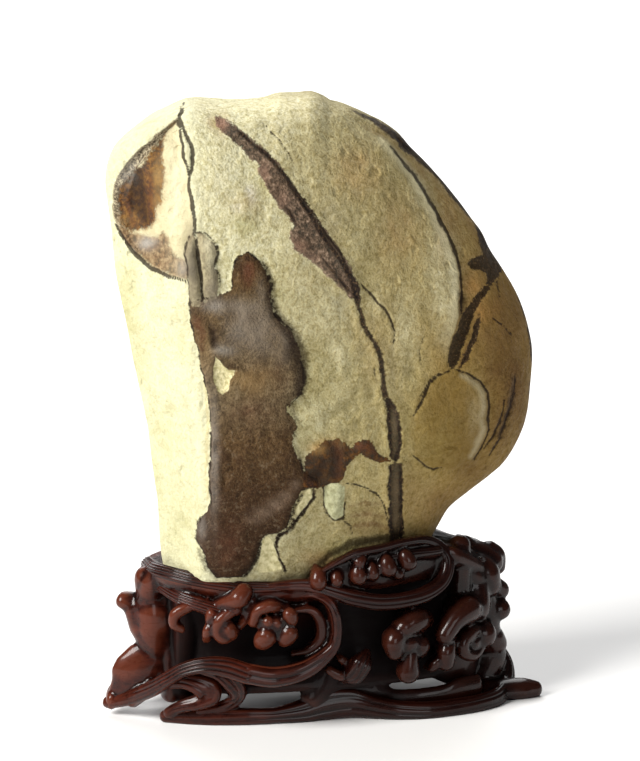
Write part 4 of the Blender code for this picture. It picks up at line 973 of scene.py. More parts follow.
FRONT_RAIL = [(-82, -17, 2.6), (-72, -22, 3.2), (-60, -27, 3.6), (-46, -31, 3.6),
              (-32, -33, 3.6), (-18, -34, 5), (-6, -34, 8), (6, -35, 8), (16, -38, 5.5),
              (28, -42, 4), (42, -44, 3.4), (56, -43, 3.4), (70, -40, 3.4), (82, -33, 3.4),
              (91, -21, 6), (93, -15, 13), (90, -13, 20), (84, -12, 27)]
SECOND_LIP = [(-83, -13, 67), (-77, -27, 65), (-68, -35, 62.5), (-59, -39, 60), (-53, -42, 62)]
BACK_SCOOP = [(22, 40, 64), (15, 44, 65), (9, 47, 62), (5, 49, 56), (4, 49, 48), (7, 49, 40),
              (15, 49, 34), (25, 48, 31), (37, 46, 29), (48, 44, 31), (58, 41, 32), (68, 36, 28),
              (76, 30, 20), (79, 26, 11), (75, 27, 5), (65, 33, 4), (53, 37, 4)]
BACK_FOOT = [(-36, 42, 33), (-50, 42, 32), (-62, 38, 27), (-70, 33, 19), (-74, 30, 11),
             (-69, 31, 5), (-58, 35, 4), (-47, 38, 4)]
BACK_WAVE = half_turned([(36, -33, 76), (48, -33, 75), (56, -35, 69), (52, -39, 62),
                         (40, -43, 58), (26, -45, 57), (12, -46, 60), (-2, -45, 64)])
BUD = [(2, -42, 23), (5, -45, 26), (8, -46, 31), (11, -44, 35)]


def ribbons():
    """Each ribbon of the carving, as make_band takes it, with its ridges and their depth."""
    return [
        ("scoop", SCOOP, [4, 5, 5, 5, 5, 6, 8, 9, 10, 10], 4.5, 0.15,
         [8, 8, 9, 9, 9, 12, 14, 14, 12, 10], 2, [0.1, 0.3, 0.3, 0.2, 0.2, 0.3, 0.45, 0.5, 0.4]),
        ("shell", SHELL, [2, 4, 5, 5, 5, 4, 2], 3, 0.1, 8, 1, 0),
        ("upper_wave", UPPER_WAVE, [2, 3, 4, 4, 4, 5, 6, 7, 7, 8, 8, 8, 8, 7, 7, 6, 4], 4.5, 0.2,
         [4, 4, 4, 4, 5, 8, 12], 3, [0, 0.1, 0.2, 0.2, 0.2, 0.2, 0.3, 0.3, 0.4, 0.4, 0.4, 0.3, 0.2]),
        ("left_sweep", LEFT_SWEEP, [10, 10, 8, 7, 7, 8, 8, 7, 6.5], 5, 0.25,
         [10, 8, 8, 6, 4, 2, 0, 0, 0], 4, [0.4, 0.5, 0.7, 0.7, 0.5, 0.3, 0.1, 0, 0]),
        ("left_scroll", LEFT_SCROLL, [8, 8, 7.5, 6.5, 7, 10, 13.5, 13, 9, 7, 6, 6], 5, 0.3, 0, 3,
         [0, 0.1, 0.4, 0.6, 0.5, 0.3, 0.15, 0.1, 0.2, 0.2, 0]),
        ("spiral", SPIRAL, [5, 5, 5.5, 5.5, 5.5, 5.5, 5], 5, [0.1, 0.15, 0.2, 0.3, 0.4, 0.5, 0.5], 0, 2,
         [0.4, 0.5, 0.4, 0.4, 0.3, 0.1]),
        ("outer_spiral", OUTER_SPIRAL, [4, 4.5, 5, 5, 4.5, 4], 4, 0.2, 3, 2, [0.2, 0.4, 0.3, 0.2]),
        ("front_rail", FRONT_RAIL,
         [7, 9, 10, 9, 8, 12, 17, 16, 12, 10, 9, 9, 9, 10, 11, 11, 10, 9], 6, 0.15, 0, 3,
         [0.1, 0.2, 0.3, 0.3, 0.4, 0.5, 0.4, 0.4, 0.4, 0.4, 0.3, 0.3, 0.4, 0.5, 0.6, 0.6, 0.5]),
        ("left_lip", rim_route(176, 262, 2.0, 0.8), [7, 8, 8, 8, 7, 6], 5, 0.5, 3, 5, 0.45),
        ("front_lip", rim_route(262, 300, 1.0, 1.2), [6, 6, 5], 4.5, 0.5, 3, 4, 0.35),
        ("right_lip", rim_route(-34, 26, 1.0, 2.0), [4, 7, 8, 7, 5], 5, 0.5, 3, 4, 0.35),
        ("back_lip", rim_route(20, 172, 2.0, 3.5), [5, 7, 7, 7, 6], 5, 0.5, 3, 4, 0.45),
        ("second_lip", SECOND_LIP, [6, 7, 7, 7, 7], 4.5, 0.3, 5, 5, [0.2, 0.4, 0.5, 0.4, 0.1]),
        ("back_scoop", BACK_SCOOP, [4, 5, 5, 5, 6, 7, 9, 10, 10, 9, 9, 9, 9, 9, 9, 8, 6], 5, 0.15,
         [8, 8, 9, 9, 9, 12, 14, 14, 12, 10, 9, 8, 4, 2, 0, 0, 0], 3,
         [0.1, 0.3, 0.3, 0.3, 0.4, 0.6, 0.6, 0.4, 0.3, 0.1]),
        ("back_foot", BACK_FOOT, [7, 10, 9, 9, 9, 9, 8, 6], 5, 0.15, [10, 10, 10, 8, 3, 0, 0, 0], 3,
         [0.2, 0.5, 0.6, 0.4, 0.3, 0.1]),
        ("back_wave", BACK_WAVE, [5, 6, 6, 7, 8, 8, 7, 6], 4.5, 0.2, 8, 3, [0.1, 0.4, 0.4, 0.2]),
        ("bud", BUD, [6, 11, 12, 5], [6, 10, 10, 5], 0, 0, 4, [0.2, 0.4, 0.4, 0.2])]


# Knobs and fingers: the way each runs, and its radius at even steps along it.
KNOBS = [
    ([(-13.5, -41, 72), (-13.5, -46.5, 73.4)], [3.2, 4.2]),
    ([(-4, -41, 71), (-4, -45.5, 73)], [2.6, 3.2]),
    ([(6.7, -41, 73), (6.7, -46.5, 74.6)], [3.2, 4.3]),
    ([(13.9, -41, 74), (13.9, -46, 75.2)], [2.6, 3.3]),
    ([(21.7, -40, 76), (21.7, -46, 77.4)], [3.2, 4.3]),
    ([(32.5, -38, 78), (32.5, -44, 79.2)], [3.2, 4.3]),
    ([(6, -42, 80), (7, -46, 81.4)], [2.4, 3.2]),
    ([(28, -40, 73), (27.5, -44, 73.6)], [2.2, 2.8]),
    ([(-70, -32, 62), (-75, -32, 61), (-80, -31, 58), (-81, -31, 53), (-77, -31, 50)],
     [2.4, 2.8, 2.9, 2.4, 1.8]),
    ([(-62, -36, 62), (-56, -41, 65), (-52, -43, 67), (-49, -42, 70)], [2.6, 3.6, 4.8, 4.2]),
    ([(-62, -34, 60), (-64, -39, 59)], [2.0, 2.2, 3.0]),
    ([(-63, -36, 57), (-66, -39, 51), (-66, -36, 46)], [1.8, 2.6, 2.2]),
    ([(-50, -40, 61), (-56, -42, 60), (-61, -42, 56), (-62, -41, 51), (-59, -41, 47), (-55, -40, 48)],
     [2.4, 2.8, 3.1, 3.0, 2.8, 2.4]),
    ([(-56, -34, 53), (-57, -41, 52)], [3.0, 3.4, 4.2]),
    ([(-50, -38, 52), (-46, -42, 60), (-44, -39, 70)], [2.2, 2.6, 2.4]),
    ([(-31, -44, 61), (-37, -47, 63), (-43, -46, 61), (-45, -44, 55)], [2.4, 2.9, 2.8, 2.6]),
    ([(-36, -40, 57), (-38, -46, 55)], [2.2, 2.4, 3.4]),
    ([(-37, -40, 50), (-39, -46, 48)], [3.2, 4.0, 5.2]),
    ([(-28, -42, 60), (-28, -49, 59)], [2.4, 2.6, 3.6]),
    ([(-27, -41, 50), (-28, -47, 49)], [3.0, 3.6, 4.8]),
    ([(-34, -41, 56), (-34, -45, 54)], [4.0, 4.4]),
    ([(42, -38, 48), (36, -43, 49), (30, -46, 47)], [5.4, 6.8, 6.6, 5.4]),
    ([(28, -45, 45), (24.5, -47.5, 41), (25, -47, 36)], [4.6, 5.4, 5.6, 4.6]),
    ([(34, -42, 40), (33, -46, 33), (32, -46.5, 24.5)], [4.0, 3.8, 4.6, 5.7]),
    ([(38, -40, 39), (38.5, -44, 37)], [4.6, 5.2]),
    ([(30, -42, 39), (31, -46, 39)], [4.6, 5.0]),
    ([(3, -42, 25), (-2, -44.5, 25), (-7, -44, 28)], [2.4, 2.8, 2.0]),
    ([(2, -42, 30), (-1, -44.5, 33)], [2.4, 2.0]),
    ([(64, -30, 58), (64, -30, 70), (64, -27, 81)], [4.6, 4.2, 4.4, 5.2]),
    ([(70, -15, 73), (78, -14, 72), (84, -14, 68)], [6.4, 7.0, 6.6]),
    ([(72, -20, 70), (78, -22, 66), (80, -22, 59)], [6.0, 7.0, 7.6, 7.0]),
    ([(66, -8, 76), (72, -12, 77)], [4.6, 4.4]),
    ([(70, -22, 72), (71, -26, 66), (76, -26, 56)], [5.4, 6.2, 5.6, 4.4]),
    ([(74, -16, 60), (83, -18, 57), (88, -17, 54)], [5.0, 5.6, 5.0]),
    ([(84, -12, 74), (88, -10, 70), (89, -9, 64)], [4.2, 5.0, 4.6]),
    ([(8, 41, 60), (2, 45, 62), (-4, 46, 60)], [3.4, 4.2, 3.4]),
    ([(-12, 42, 46), (-14, 46, 42), (-13, 46, 34)], [3.6, 4.6, 3.6, 4.4]),
    ([(18, 42, 24), (24, 45, 22), (29, 44, 18)], [3.2, 4.2, 3.6]),
    ([(70, 30, 62), (72, 33, 52), (70, 34, 44)], [3.2, 4.4, 3.4, 4.4]),
    ([(-63, 34, 60), (-67, 36, 54), (-66, 35, 46)], [3.4, 4.6, 3.6, 4.6]),
    ([(82, 4, 62), (87, 3, 57), (87, 2, 50)], [3.8, 4.8, 4.0, 5.0]),
    ([(82, 0, 44), (86, -2, 39), (86, -2, 33)], [3.8, 4.6, 3.8, 4.6]),
    ([(75, -20, 45), (82, -21, 44), (87, -21, 45)], [5.6, 5.0, 5.4]),
    ([(68, -31, 50), (63, -37, 50), (57, -41, 47), (51.5, -43.5, 41)], [7.2, 7.8, 6.2, 5.0, 4.6]),
    ([(55, -40, 38), (52.5, -43.5, 33), (52, -43.5, 27)], [3.6, 4.2, 4.8, 4.4]),
    ([(47, -39, 28), (47, -44, 27)], [1.8, 2.0, 2.6]),
    ([(73, -32, 39), (67, -37, 39), (62, -40, 35), (62.5, -40, 30), (68, -37.5, 27.5), (72, -35, 30)],
     [3.2, 3.4, 3.2, 3.2, 3.0, 2.6]),
    ([(68, -32, 34), (68, -35.5, 33.5)], [4.6, 4.4]),
    ([(74, -26, 38), (75, -31, 36)], [6.0, 7.0]),
    ([(75, -16, 32), (82, -18, 31), (85, -18, 27)], [7.0, 7.4, 6.8]),
    ([(78, -20, 54), (80, -20, 42), (82, -17, 28)], [6.5, 7.0, 7.0]),
    ([(72, -24, 60), (72, -28, 50)], [8.0, 8.0]),
    ([(64, 36, 60), (63, 39, 55)], [2.8, 3.4, 4.6]),
    ([(60, 37, 57), (62, 40, 48)], [2.8, 3.6, 5.0]),
    ([(53, 39, 60), (57, 41, 55), (56, 41, 46)], [3.2, 3.2, 3.8, 5.0]),
    ([(33, 43, 60), (38, 46, 54), (38, 46, 46)], [3.6, 4.6, 4.4, 5.2]),
    ([(24, 44, 61), (27, 47, 56), (28, 46, 47)], [3.0, 4.4, 3.8, 4.8]),
    ([(-6, 36, 68), (-3, 44, 72)], [2.8, 3.2, 4.6]),
    ([(-17, 36, 68), (-15, 44, 73)], [2.8, 3.2, 4.6]),
    ([(-28, 36, 68), (-25, 43, 74)], [2.8, 3.4, 4.8]),
    ([(-39, 41, 52), (-32, 45, 53), (-25, 47, 47), (-22, 48, 39)], [4.0, 5.4, 4.6, 4.2, 5.4]),
    ([(-55, 38, 52), (-50, 42, 48), (-50, 42, 40)], [3.8, 4.6, 4.0, 5.0]),
    ([(-4, 40, 42), (-5, 43, 36), (-5, 42, 29)], [3.4, 5.6, 6.0, 4.6]),
    ([(76, 18, 66), (83, 17, 62)], [4.4, 4.6, 5.4]),
    ([(76, 20, 50), (84, 18, 46), (84, 17, 38)], [4.4, 5.2, 4.4, 5.2]),
    ([(-74, 24, 58), (-79, 24, 53)], [4.0, 4.2, 5.2]),
    ([(-74, 24, 44), (-78, 24, 38)], [4.0, 4.2, 5.0])]


def plain_bands():
    """Webs, feet and the tall left knob, which are smooth all over."""
    yield make_knob([(-83, -5, 22), (-83.5, -5, 33), (-85.5, -5, 44), (-86.5, -5, 54), (-87, -5, 61),
                     (-88, -4, 69)], [6.6, 6.0, 7.6, 9.0, 8.8, 7.2, 6.8, 6.6], deep=4)
    yield make_knob([(-88, -3, 55), (-94, -1, 55), (-99.5, 0, 57)], [7.6, 5.4, 3.6], deep=2)
    yield make_knob([(-87, -6, 63), (-86, -8, 68), (-84, -10, 71.5)], [6.8, 6.6, 5.8])
    yield make_knob([(-95, -2, 53), (-91, -3, 46), (-87, -5, 38)], [4.4, 6.6, 6.4], deep=2)
    yield make_band([(-84, -5, 37), (-89, -6, 30), (-94, -6, 23), (-98, -5, 16), (-103, -1, 9)],
                    [12, 20, 24, 23, 12], [8, 8, 7, 6, 5], facing=(-0.3, -0.9, 0.3))
    yield make_band([(-106, -1, 7), (-104, 6, 9), (-98, 10, 15), (-90, 10, 24), (-82, 8, 32)],
                    [9, 10, 11, 12, 12], 6)
    yield make_band([(-78, -6, 10), (-79, -5, 22), (-80, -5, 36), (-81, -5, 52), (-82, -6, 67)],
                    [18, 18, 14, 13, 13], 8)
    yield make_knob([(-71, -11, 13), (-71, -12, 38), (-72, -13, 66)], 6.5)
    yield make_band([(-15, -41, 71), (-5, -42, 73), (5, -42, 76), (20, -41, 77), (31, -39, 78),
                     (41, -36, 78), (50, -33, 76), (54, -33, 74)],
                    [8, 15, 20, 22, 23, 23, 19, 12], 5)
    yield make_band([(8, -33, 10), (18, -34, 10), (27, -35, 7), (40, -35, 6.5), (54, -35, 7),
                     (63, -34, 9), (72, -31, 9)], [16, 16, 12, 11, 12, 14, 14], 6)
    yield make_knob([(80, -17, 10), (84, -17, 17), (85, -16, 25)], 7.0)
    yield make_knob([(86, -13, 4), (88, -13, 12)], 5.0)
    yield make_knob([(68, -26, 66), (74, -22, 62), (73, -24, 48)], [5.5, 6.0, 6.0])
    yield make_band([(-12, -34, 8), (-6, -33, 15), (-2, -32, 22)], [18, 20, 18], 7)
    yield make_band([(50, -29, 22), (62, -27, 20), (71, -22, 20), (77, -14, 21), (80, -4, 22),
                     (80, 8, 23)], [14, 22, 26, 26, 22, 16], 6, -0.1, 6)
    yield make_band([(80, -26, 4.4), (90, -26, 4.8), (98, -26, 4.4), (104, -26, 3.2)],
                    [13, 12, 12, 8], 10, 0.5)


def join(pieces, name):
    bpy.ops.object.select_all(action="DESELECT")
    for piece in pieces:
        piece.select_set(True)
    bpy.context.view_layer.objects.active = pieces[0]
    bpy.ops.object.join()
    whole = bpy.context.object
    whole.name = whole.data.name = name
    return whole


def settle(item):
    """Millimetres to metres, feet cut flat on the floor, and the item put on its body."""
    item.data.transform(Matrix.Scale(MILLIMETRE, 4))
    bpy.ops.object.select_all(action="DESELECT")
    item.select_set(True)
    bpy.context.view_layer.objects.active = item
    bpy.ops.object.mode_set(mode="EDIT")
    bpy.ops.mesh.select_all(action="SELECT")
    bpy.ops.mesh.bisect(plane_co=(0, 0, FLOOR_CUT), plane_no=(0, 0, 1), use_fill=True, clear_inner=True)
    bpy.ops.object.mode_set(mode="OBJECT")
    item.data.shade_smooth()
    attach(item, "root")
    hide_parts("stand")


def finish_with(item, kind, **settings):
    """One modifier, applied."""
    modifier = item.modifiers.new(kind.lower(), kind)
    for name, value in settings.items():
        setattr(modifier, name, value)
    bpy.context.view_layer.objects.active = item
    bpy.ops.object.modifier_apply(modifier=modifier.name)


def softened(mesh, places):
    """Where each vertex would lie if its surroundings were smoothed flat."""
    ends = np.empty(len(mesh.edges) * 2, np.int64)
    mesh.edges.foreach_get("vertices", ends)
    ends = ends.reshape(-1, 2)
    count = len(places)
    near = np.bincount(ends.ravel(), minlength=count)[:, None]
    soft = places.copy()
    for _ in range(SOFTENING_ROUNDS):
        total = np.stack([np.bincount(ends[:, 0], soft[ends[:, 1], axis], count)
                          + np.bincount(ends[:, 1], soft[ends[:, 0], axis], count)
                          for axis in range(3)], 1)
        soft = KEPT_SHARE * soft + NEAR_SHARE * total / near
    return soft


def recess_depths(places):
    """Where the wood is painted with shade: the body's sunk wall, the gap behind the left column, and the
    seat that the rock hides.
    """
    x, y, z = places.T
    power = BODY_SQUARENESS
    spread = (np.abs(x) / BODY_HALF_LENGTH) ** power + (np.abs(y) / BODY_HALF_DEPTH) ** power
    beyond = np.hypot(x, y) * (1 - 1 / np.maximum(spread ** (1 / power), 0.01))
    above_rim = z - np.array([rim_height(*place_on) for place_on in zip(x, y)])
    at_cup = ease(x, *CUP_SHARE_ALONG) * ease(z, *CUP_SHARE_UP)
    at_shell = ease(x, *SHELL_LEFT) * ease(-x, *SHELL_RIGHT) * ease(z, *SHELL_UP)
    wall = (ease(-beyond, *WALL_INSIDE) * ease(z, *WALL_UP) * (1 - ease(above_rim, *WALL_BELOW_RIM))
            * (1 - CUP_SHARE * at_cup) * (1 - SHELL_SHARE * at_shell))
    gap = within(x, *GAP_ALONG) * within(y, *GAP_ACROSS) * within(z, *GAP_UP)
    seat = ease(-beyond, *SEAT_INSIDE) * within(above_rim, *SEAT_UP)
    return np.maximum(wall, np.maximum(gap, seat))


def mark_hollows(mesh):
    """How deep each place of the carving lies below its surroundings, and in its recesses painted with
    shade, 0 to 1.
    """
    places = vertex_values(mesh, "co")
    depth = ((softened(mesh, places) - places) * vertex_values(mesh, "normal")).sum(1)
    keep_values(mesh, "hollow", np.clip(0.5 + depth / HOLLOW_DEPTH, 0, 1))
    keep_values(mesh, "shaded_recess", recess_depths(places))


def make_stand(finish):
    """The carved block, smoothed into one piece, and the ridged ribbons that lie proud of it."""
    pieces = [make_body()] + [make_knob(route, radius) for route, radius in KNOBS]
    pieces += list(plain_bands())
    for _, route, wide, thick, lean, deep, _, _ in ribbons():
        pieces.append(make_band(route, wide, thick, lean, deep))
    carved = join(pieces, "carved_block")
    finish_with(carved, "REMESH", mode="VOXEL", voxel_size=CARVING_GRAIN)
    finish_with(carved, "SMOOTH", factor=0.5, iterations=2)
    triangles = len(carved.data.polygons) * 2
    if triangles > CARVED_TRIANGLES:
        finish_with(carved, "DECIMATE", ratio=CARVED_TRIANGLES / triangles)
    mark_hollows(carved.data)
    settle(carved)
    carved.data.materials.append(finish)
    for name, route, wide, thick, lean, deep, ridges, groove in ribbons():
        proud = make_band(route, np.array(wide) * RIBBON_SHRINK, np.array(thick) + RIBBON_PROUD, lean,
                          deep, ridges=ridges, groove=groove, name=name)
        settle(proud)
        proud.data.materials.append(finish)


# ---------------------------------------------------------------- node making
def paint(code):
    """A linear colour from a painter's six-figure code."""
    parts = [int(code[step:step + 2], 16) / 255 for step in (0, 2, 4)]
    return tuple(part / 12.92 if part < 0.04045 else ((part + 0.055) / 1.055) ** 2.4
                 for part in parts) + (1.0,)


def place(tree, kind, settings=None, feeds=None):
    """One node, with its settings and what goes into its sockets."""
    node = tree.nodes.new("ShaderNode" + kind)
    for name, value in (settings or {}).items():
        setattr(node, name, value)
    for name, value in (feeds or {}).items():
        if isinstance(value, bpy.types.NodeSocket):
            tree.links.new(value, node.inputs[name])
        else:
            node.inputs[name].default_value = value
    return node


def reckon(tree, operation, first, second=0.0, third=0.0):
    return place(tree, "Math", {"operation": operation}, {0: first, 1: second, 2: third}).outputs[0]


def swung(tree, value, amount):
    """A noise turned to run either side of zero, and made stronger or weaker."""
    return reckon(tree, "MULTIPLY", reckon(tree, "SUBTRACT", value, 0.5), amount)


def between(tree, value, low, high, start=0.0, end=1.0):
    """Eases from start to end as the value goes from low to high."""
    node = place(tree, "MapRange", {"interpolation_type": "SMOOTHSTEP"},
                 {"Value": value, "From Min": low, "From Max": high, "To Min": start, "To Max": end})
    return node.outputs[0]


def layer(tree, factor, under, over, mode="MIX"):
    node = place(tree, "Mix", {"data_type": "RGBA", "blend_type": mode},
                 {0: factor, 6: under, 7: over})
    return node.outputs[2]


def cover(tree, factor, strength, under, over):
    return layer(tree, reckon(tree, "MULTIPLY", factor, strength), under, over)


def cloud(tree, vector, scale, detail=3.0, roughness=0.55, distortion=0.0):
    node = place(tree, "TexNoise", None, {"Vector": vector, "Scale": scale, "Detail": detail,
                                          "Roughness": roughness, "Distortion": distortion})
    return node.outputs[0]


def marking(tree, name):
    return place(tree, "Attribute", {"attribute_name": name}).outputs["Fac"]


def ramp(tree, value, stops):
    node = place(tree, "ValToRGB", None, {"Fac": value})
    steps = node.color_ramp.elements
    while len(steps) < len(stops):
        steps.new(0.5)
    for step, (position, code) in zip(steps, stops):
        step.position = position
        step.color = paint(code)
    return node.outputs[0]


def stretched(tree, scale):
    """Places on the piece, drawn out by a scale each way."""
    coordinates = place(tree, "TexCoord").outputs["Object"]
    return place(tree, "Mapping", None, {"Vector": coordinates, "Scale": scale}).outputs[0]


def bump(tree, shader, height, strength, distance):
    node = place(tree, "Bump", None, {"Strength": strength, "Distance": distance, "Height": height})
    tree.links.new(node.outputs[0], shader.inputs["Normal"])


def new_material(name):
    material = bpy.data.materials.new(name)
    material.use_nodes = True
    return material, material.node_tree, material.node_tree.nodes["Principled BSDF"]


# ---------------------------------------------------------------- the stone's finish
# How each marking's colour comes in: how far the noise frays its edge, and the depths inside it, in
# millimetres, between which it comes from nothing to all.
CLEAN_EDGE = (-0.25, 0.35)
EDGES = {
    "flank": (0.3, -2.5, 3.0), "inset": (0.2, -2.0, 1.0), "painted_highlight": (0.5, -2.2, 1.4),
    "worn": (0.3, -0.8, 0.8), "rim": (1.0, -1.2, 0.8), "foot": (1.0, -0.8, 1.2),
    "heart": (1.2, -0.9, 1.4), "fan": (0.4, *CLEAN_EDGE), "figure": (0.6, *CLEAN_EDGE),
    "fingers": (0.4, *CLEAN_EDGE), "arch": (0.8, *CLEAN_EDGE), "band": (1.0, -0.6, 0.7),
    "red": (0.8, -1.2, 1.4), "shade": (0.9, -1.5, 2.0), "core": (0.7, -0.6, 0.6),
    "dark": (0.9, *CLEAN_EDGE), "lines": (0.3, -0.4, 0.25), "pale": (0.3, *CLEAN_EDGE),
    "pebble": (0.3, *CLEAN_EDGE)}
# Colours along a noise or a height: share of the way, and colour.
# The ground's colours along its tone and painted shade, palest at the left.
GROUND_RAMP = [(0.0, "dcdabb"), (0.08, "cfcbab"), (0.2, "b1a985"), (0.36, "a69c74"), (0.55, "b0a376"),
               (0.74, "977f49"), (1.0, "6b4f22")]
GRIT_RAMP = [(0.34, "ffffff"), (0.5, "f7f4ec"), (0.68, "d8d2be")]
GRAIN_RAMP = [(0.36, "ffffff"), (0.56, "f0eee6"), (0.7, "d2cdbb")]
DISH_RAMP = [(0.3, "aaa07b"), (0.6, "c6bd98")]
RIM_RAMP = [(0.38, "33291e"), (0.47, "6a5d4a"), (0.56, "9a8d72"), (0.66, "bdb296")]
FOOT_RAMP = [(0.36, "3f2d1a"), (0.48, "6c5237"), (0.62, "96805f")]
# The fan's heart: its own brown, made darker with painted shade as it lies in a hollow.
HEART_AND_SHADE_RAMP = [(0.36, "220f04"), (0.48, "472407"), (0.62, "75501f")]
BARK_RAMP = [(0.0, "38220d"), (0.3, "402a12"), (0.55, "563f22"), (0.8, "6d5e44"), (1.0, "5a4423")]
FINGER_RAMP = [(0.36, "74674b"), (0.5, "968a6a"), (0.64, "b5aa88")]
ARCH_RAMP = [(0.36, "1c0d03"), (0.5, "371b06"), (0.64, "5e3a12")]
BAND_RAMP = [(0.4, "231913"), (0.49, "4b3a2e"), (0.56, "6c5848"), (0.66, "a08a76")]
CHAR_RAMP = [(0.42, "140c07"), (0.54, "281b11"), (0.63, "46341f"), (0.72, "705b43")]
PALE_RAMP = [(0.36, "b0a676"), (0.6, "ddd4a8")]
PEBBLE_RAMP = [(0.36, "96946e"), (0.6, "bab993")]
# Flecks in the figure: the noise, where in it they start and end, their strength and colour.
BARK_FLECKS = [("mottle", 0.44, 0.64, 0.5, "2a1b0e"), ("fine", 0.5, 0.62, 0.35, "1f1409"),
               ("fine", 0.45, 0.34, 0.12, "8c7d62"), ("mottle", 0.44, 0.32, 0.2, "93836a"),
               ("patchy", 0.5, 0.68, 0.4, "35200f")]
BARK_FOOT, BARK_TOP = 0.065, 0.215
# Each noise's scale, detail and roughness, from the finest to the broadest.
STONE_NOISES = {"fine": (880, 3, 0.6), "mottle": (400, 4, 0.6), "patchy": (110, 4, 0.6),
                "broad": (34, 4, 0.5)}
MOTTLE_FRAY, FINE_FRAY = 3.2, 2.6


def stone_noises(tree):
    """The noises that the stone's finish shares, and the mix of two that frays its edges."""
    places = stretched(tree, (1, 1, 1))
    noises = {name: cloud(tree, places, *settings) for name, settings in STONE_NOISES.items()}
    noises["places"] = places
    noises["fray"] = reckon(tree, "ADD", swung(tree, noises["mottle"], MOTTLE_FRAY),
                            swung(tree, noises["fine"], FINE_FRAY))
    return noises


def mask(tree, noises, name, ragged, low, high):
    """Where a marking shows, 0 to 1, with a frayed edge."""
    value = reckon(tree, "MULTIPLY_ADD", noises["fray"], ragged, marking(tree, name))
    return between(tree, value, low, high)


def lay(tree, noises, colour, name, strength, over):
    """A colour laid on a marking."""
    return cover(tree, mask(tree, noises, name, *EDGES[name]), strength, colour, over)


def stained(tree, name, colour, strength=1.0):
    stain = place(tree, "Attribute", {"attribute_name": name})
    return cover(tree, stain.outputs["Alpha"], strength, colour, stain.outputs["Color"])


def ground_colour(tree, noises):
    """The buff ground, darker to the right partly in its own colour and partly as painted shade, paler on
    the flank, blotched, stained (a few stains being painted shade), pitted and gritty.
    """
    tone_and_shade = reckon(tree, "ADD", marking(tree, "tone_and_shade"), swung(tree, noises["broad"], 0.22))
    flank = mask(tree, noises, "flank", *EDGES["flank"])
    colour = layer(tree, flank, ramp(tree, tone_and_shade, GROUND_RAMP), paint("d0ceae"))
    colour = layer(tree, between(tree, noises["patchy"], 0.45, 0.75, 0.0, 0.3), colour, paint("b8b08c"),
                   "MULTIPLY")
    colour = stained(tree, "ground_stain_and_shade", colour)
    colour = cover(tree, marking(tree, "pits"), 0.5, colour, paint("857d54"))
    grit_share = reckon(tree, "MULTIPLY_ADD", flank, -0.6, 1.0)
    colour = layer(tree, grit_share, colour, ramp(tree, noises["mottle"], GRIT_RAMP), "MULTIPLY")
    return layer(tree, grit_share, colour, ramp(tree, noises["fine"], GRAIN_RAMP), "MULTIPLY")


def lay_ledge(tree, noises, colour):
    """The ledge: a crest painted paler as a highlight, and browner stone beyond it, with the inset, painted
    highlights and the worn lines.
    """
    ledge, along = marking(tree, "ledge"), marking(tree, "along")
    # Painted highlight: the ledge's crest made paler just before its line, as if it caught the light.
    crest = reckon(tree, "MULTIPLY", between(tree, ledge, -6.0, -0.8), between(tree, ledge, 0.5, -0.3))
    colour = cover(tree, reckon(tree, "MULTIPLY", crest, along), 0.22, colour, paint("d8d0aa"))
    beyond = reckon(tree, "MULTIPLY", between(tree, ledge, -0.3, 0.8), along)
    browner = between(tree, noises["patchy"], 0.35, 0.65, 0.25, 0.6)
    colour = cover(tree, beyond, browner, colour, paint("7d6134"))
    colour = lay(tree, noises, colour, "inset", 0.4, paint("6c5420"))
    # Painted highlights on the lit edges.
    colour = lay(tree, noises, colour, "painted_highlight", 0.3, paint("ddd6b4"))
    return lay(tree, noises, colour, "worn", 0.6, paint("c9bd8c"))


def lay_fan(tree, noises, colour):
    """The fan: cream ground, a speckled grey rim, brown heart and foot, the heart darkened with painted
    shade for its hollow.
    """
    dish = ramp(tree, noises["patchy"], DISH_RAMP)
    dish = lay(tree, noises, dish, "rim", 0.95, ramp(tree, noises["fine"], RIM_RAMP))
    dish = lay(tree, noises, dish, "foot", 0.92, ramp(tree, noises["mottle"], FOOT_RAMP))
    dish = lay(tree, noises, dish, "heart", 0.96, ramp(tree, noises["mottle"], HEART_AND_SHADE_RAMP))
    return lay(tree, noises, colour, "fan", 1.0, stained(tree, "mark_stain_and_shade", dish))


def lay_figure(tree, noises, colour):
    """The brown figure, its fingers, and the arch beside it."""
    height = place(tree, "SeparateXYZ", None, {0: noises["places"]}).outputs[2]
    bark = ramp(tree, between(tree, height, BARK_FOOT, BARK_TOP), BARK_RAMP)
    for noise_name, start, end, strength, code in BARK_FLECKS:
        fleck = between(tree, noises[noise_name], start, end)
        bark = cover(tree, fleck, strength, bark, paint(code))
    finger = ramp(tree, noises["mottle"], FINGER_RAMP)
    arch = ramp(tree, noises["mottle"], ARCH_RAMP)
    for name, strength, over in (("figure", 1.0, bark), ("fingers", 0.9, finger), ("arch", 0.95, arch)):
        colour = lay(tree, noises, colour, name, strength, stained(tree, "mark_stain_and_shade", over))
    return colour


def lay_vein(tree, noises, colour):
    """The vein, speckled brown with a near-black core, then the painted shade, the dark patches and lines.
    """
    speckle = reckon(tree, "MULTIPLY_ADD", noises["fine"], 0.35,
                     reckon(tree, "MULTIPLY", noises["mottle"], 0.65))
    band = stained(tree, "mark_stain_and_shade", ramp(tree, speckle, BAND_RAMP), 0.8)
    char = ramp(tree, noises["fine"], CHAR_RAMP)
    colour = lay(tree, noises, colour, "band", 0.95, band)
    colour = lay(tree, noises, colour, "red", 0.4, paint("57301c"))
    # Painted shade where shade falls on the rock.
    colour = lay(tree, noises, colour, "shade", 0.72, paint("24160b"))
    colour = lay(tree, noises, colour, "core", 0.95, char)
    colour = lay(tree, noises, colour, "dark", 0.9, stained(tree, "mark_stain_and_shade", char, 0.8))
    return lay(tree, noises, colour, "lines", 0.9, paint("21150a"))


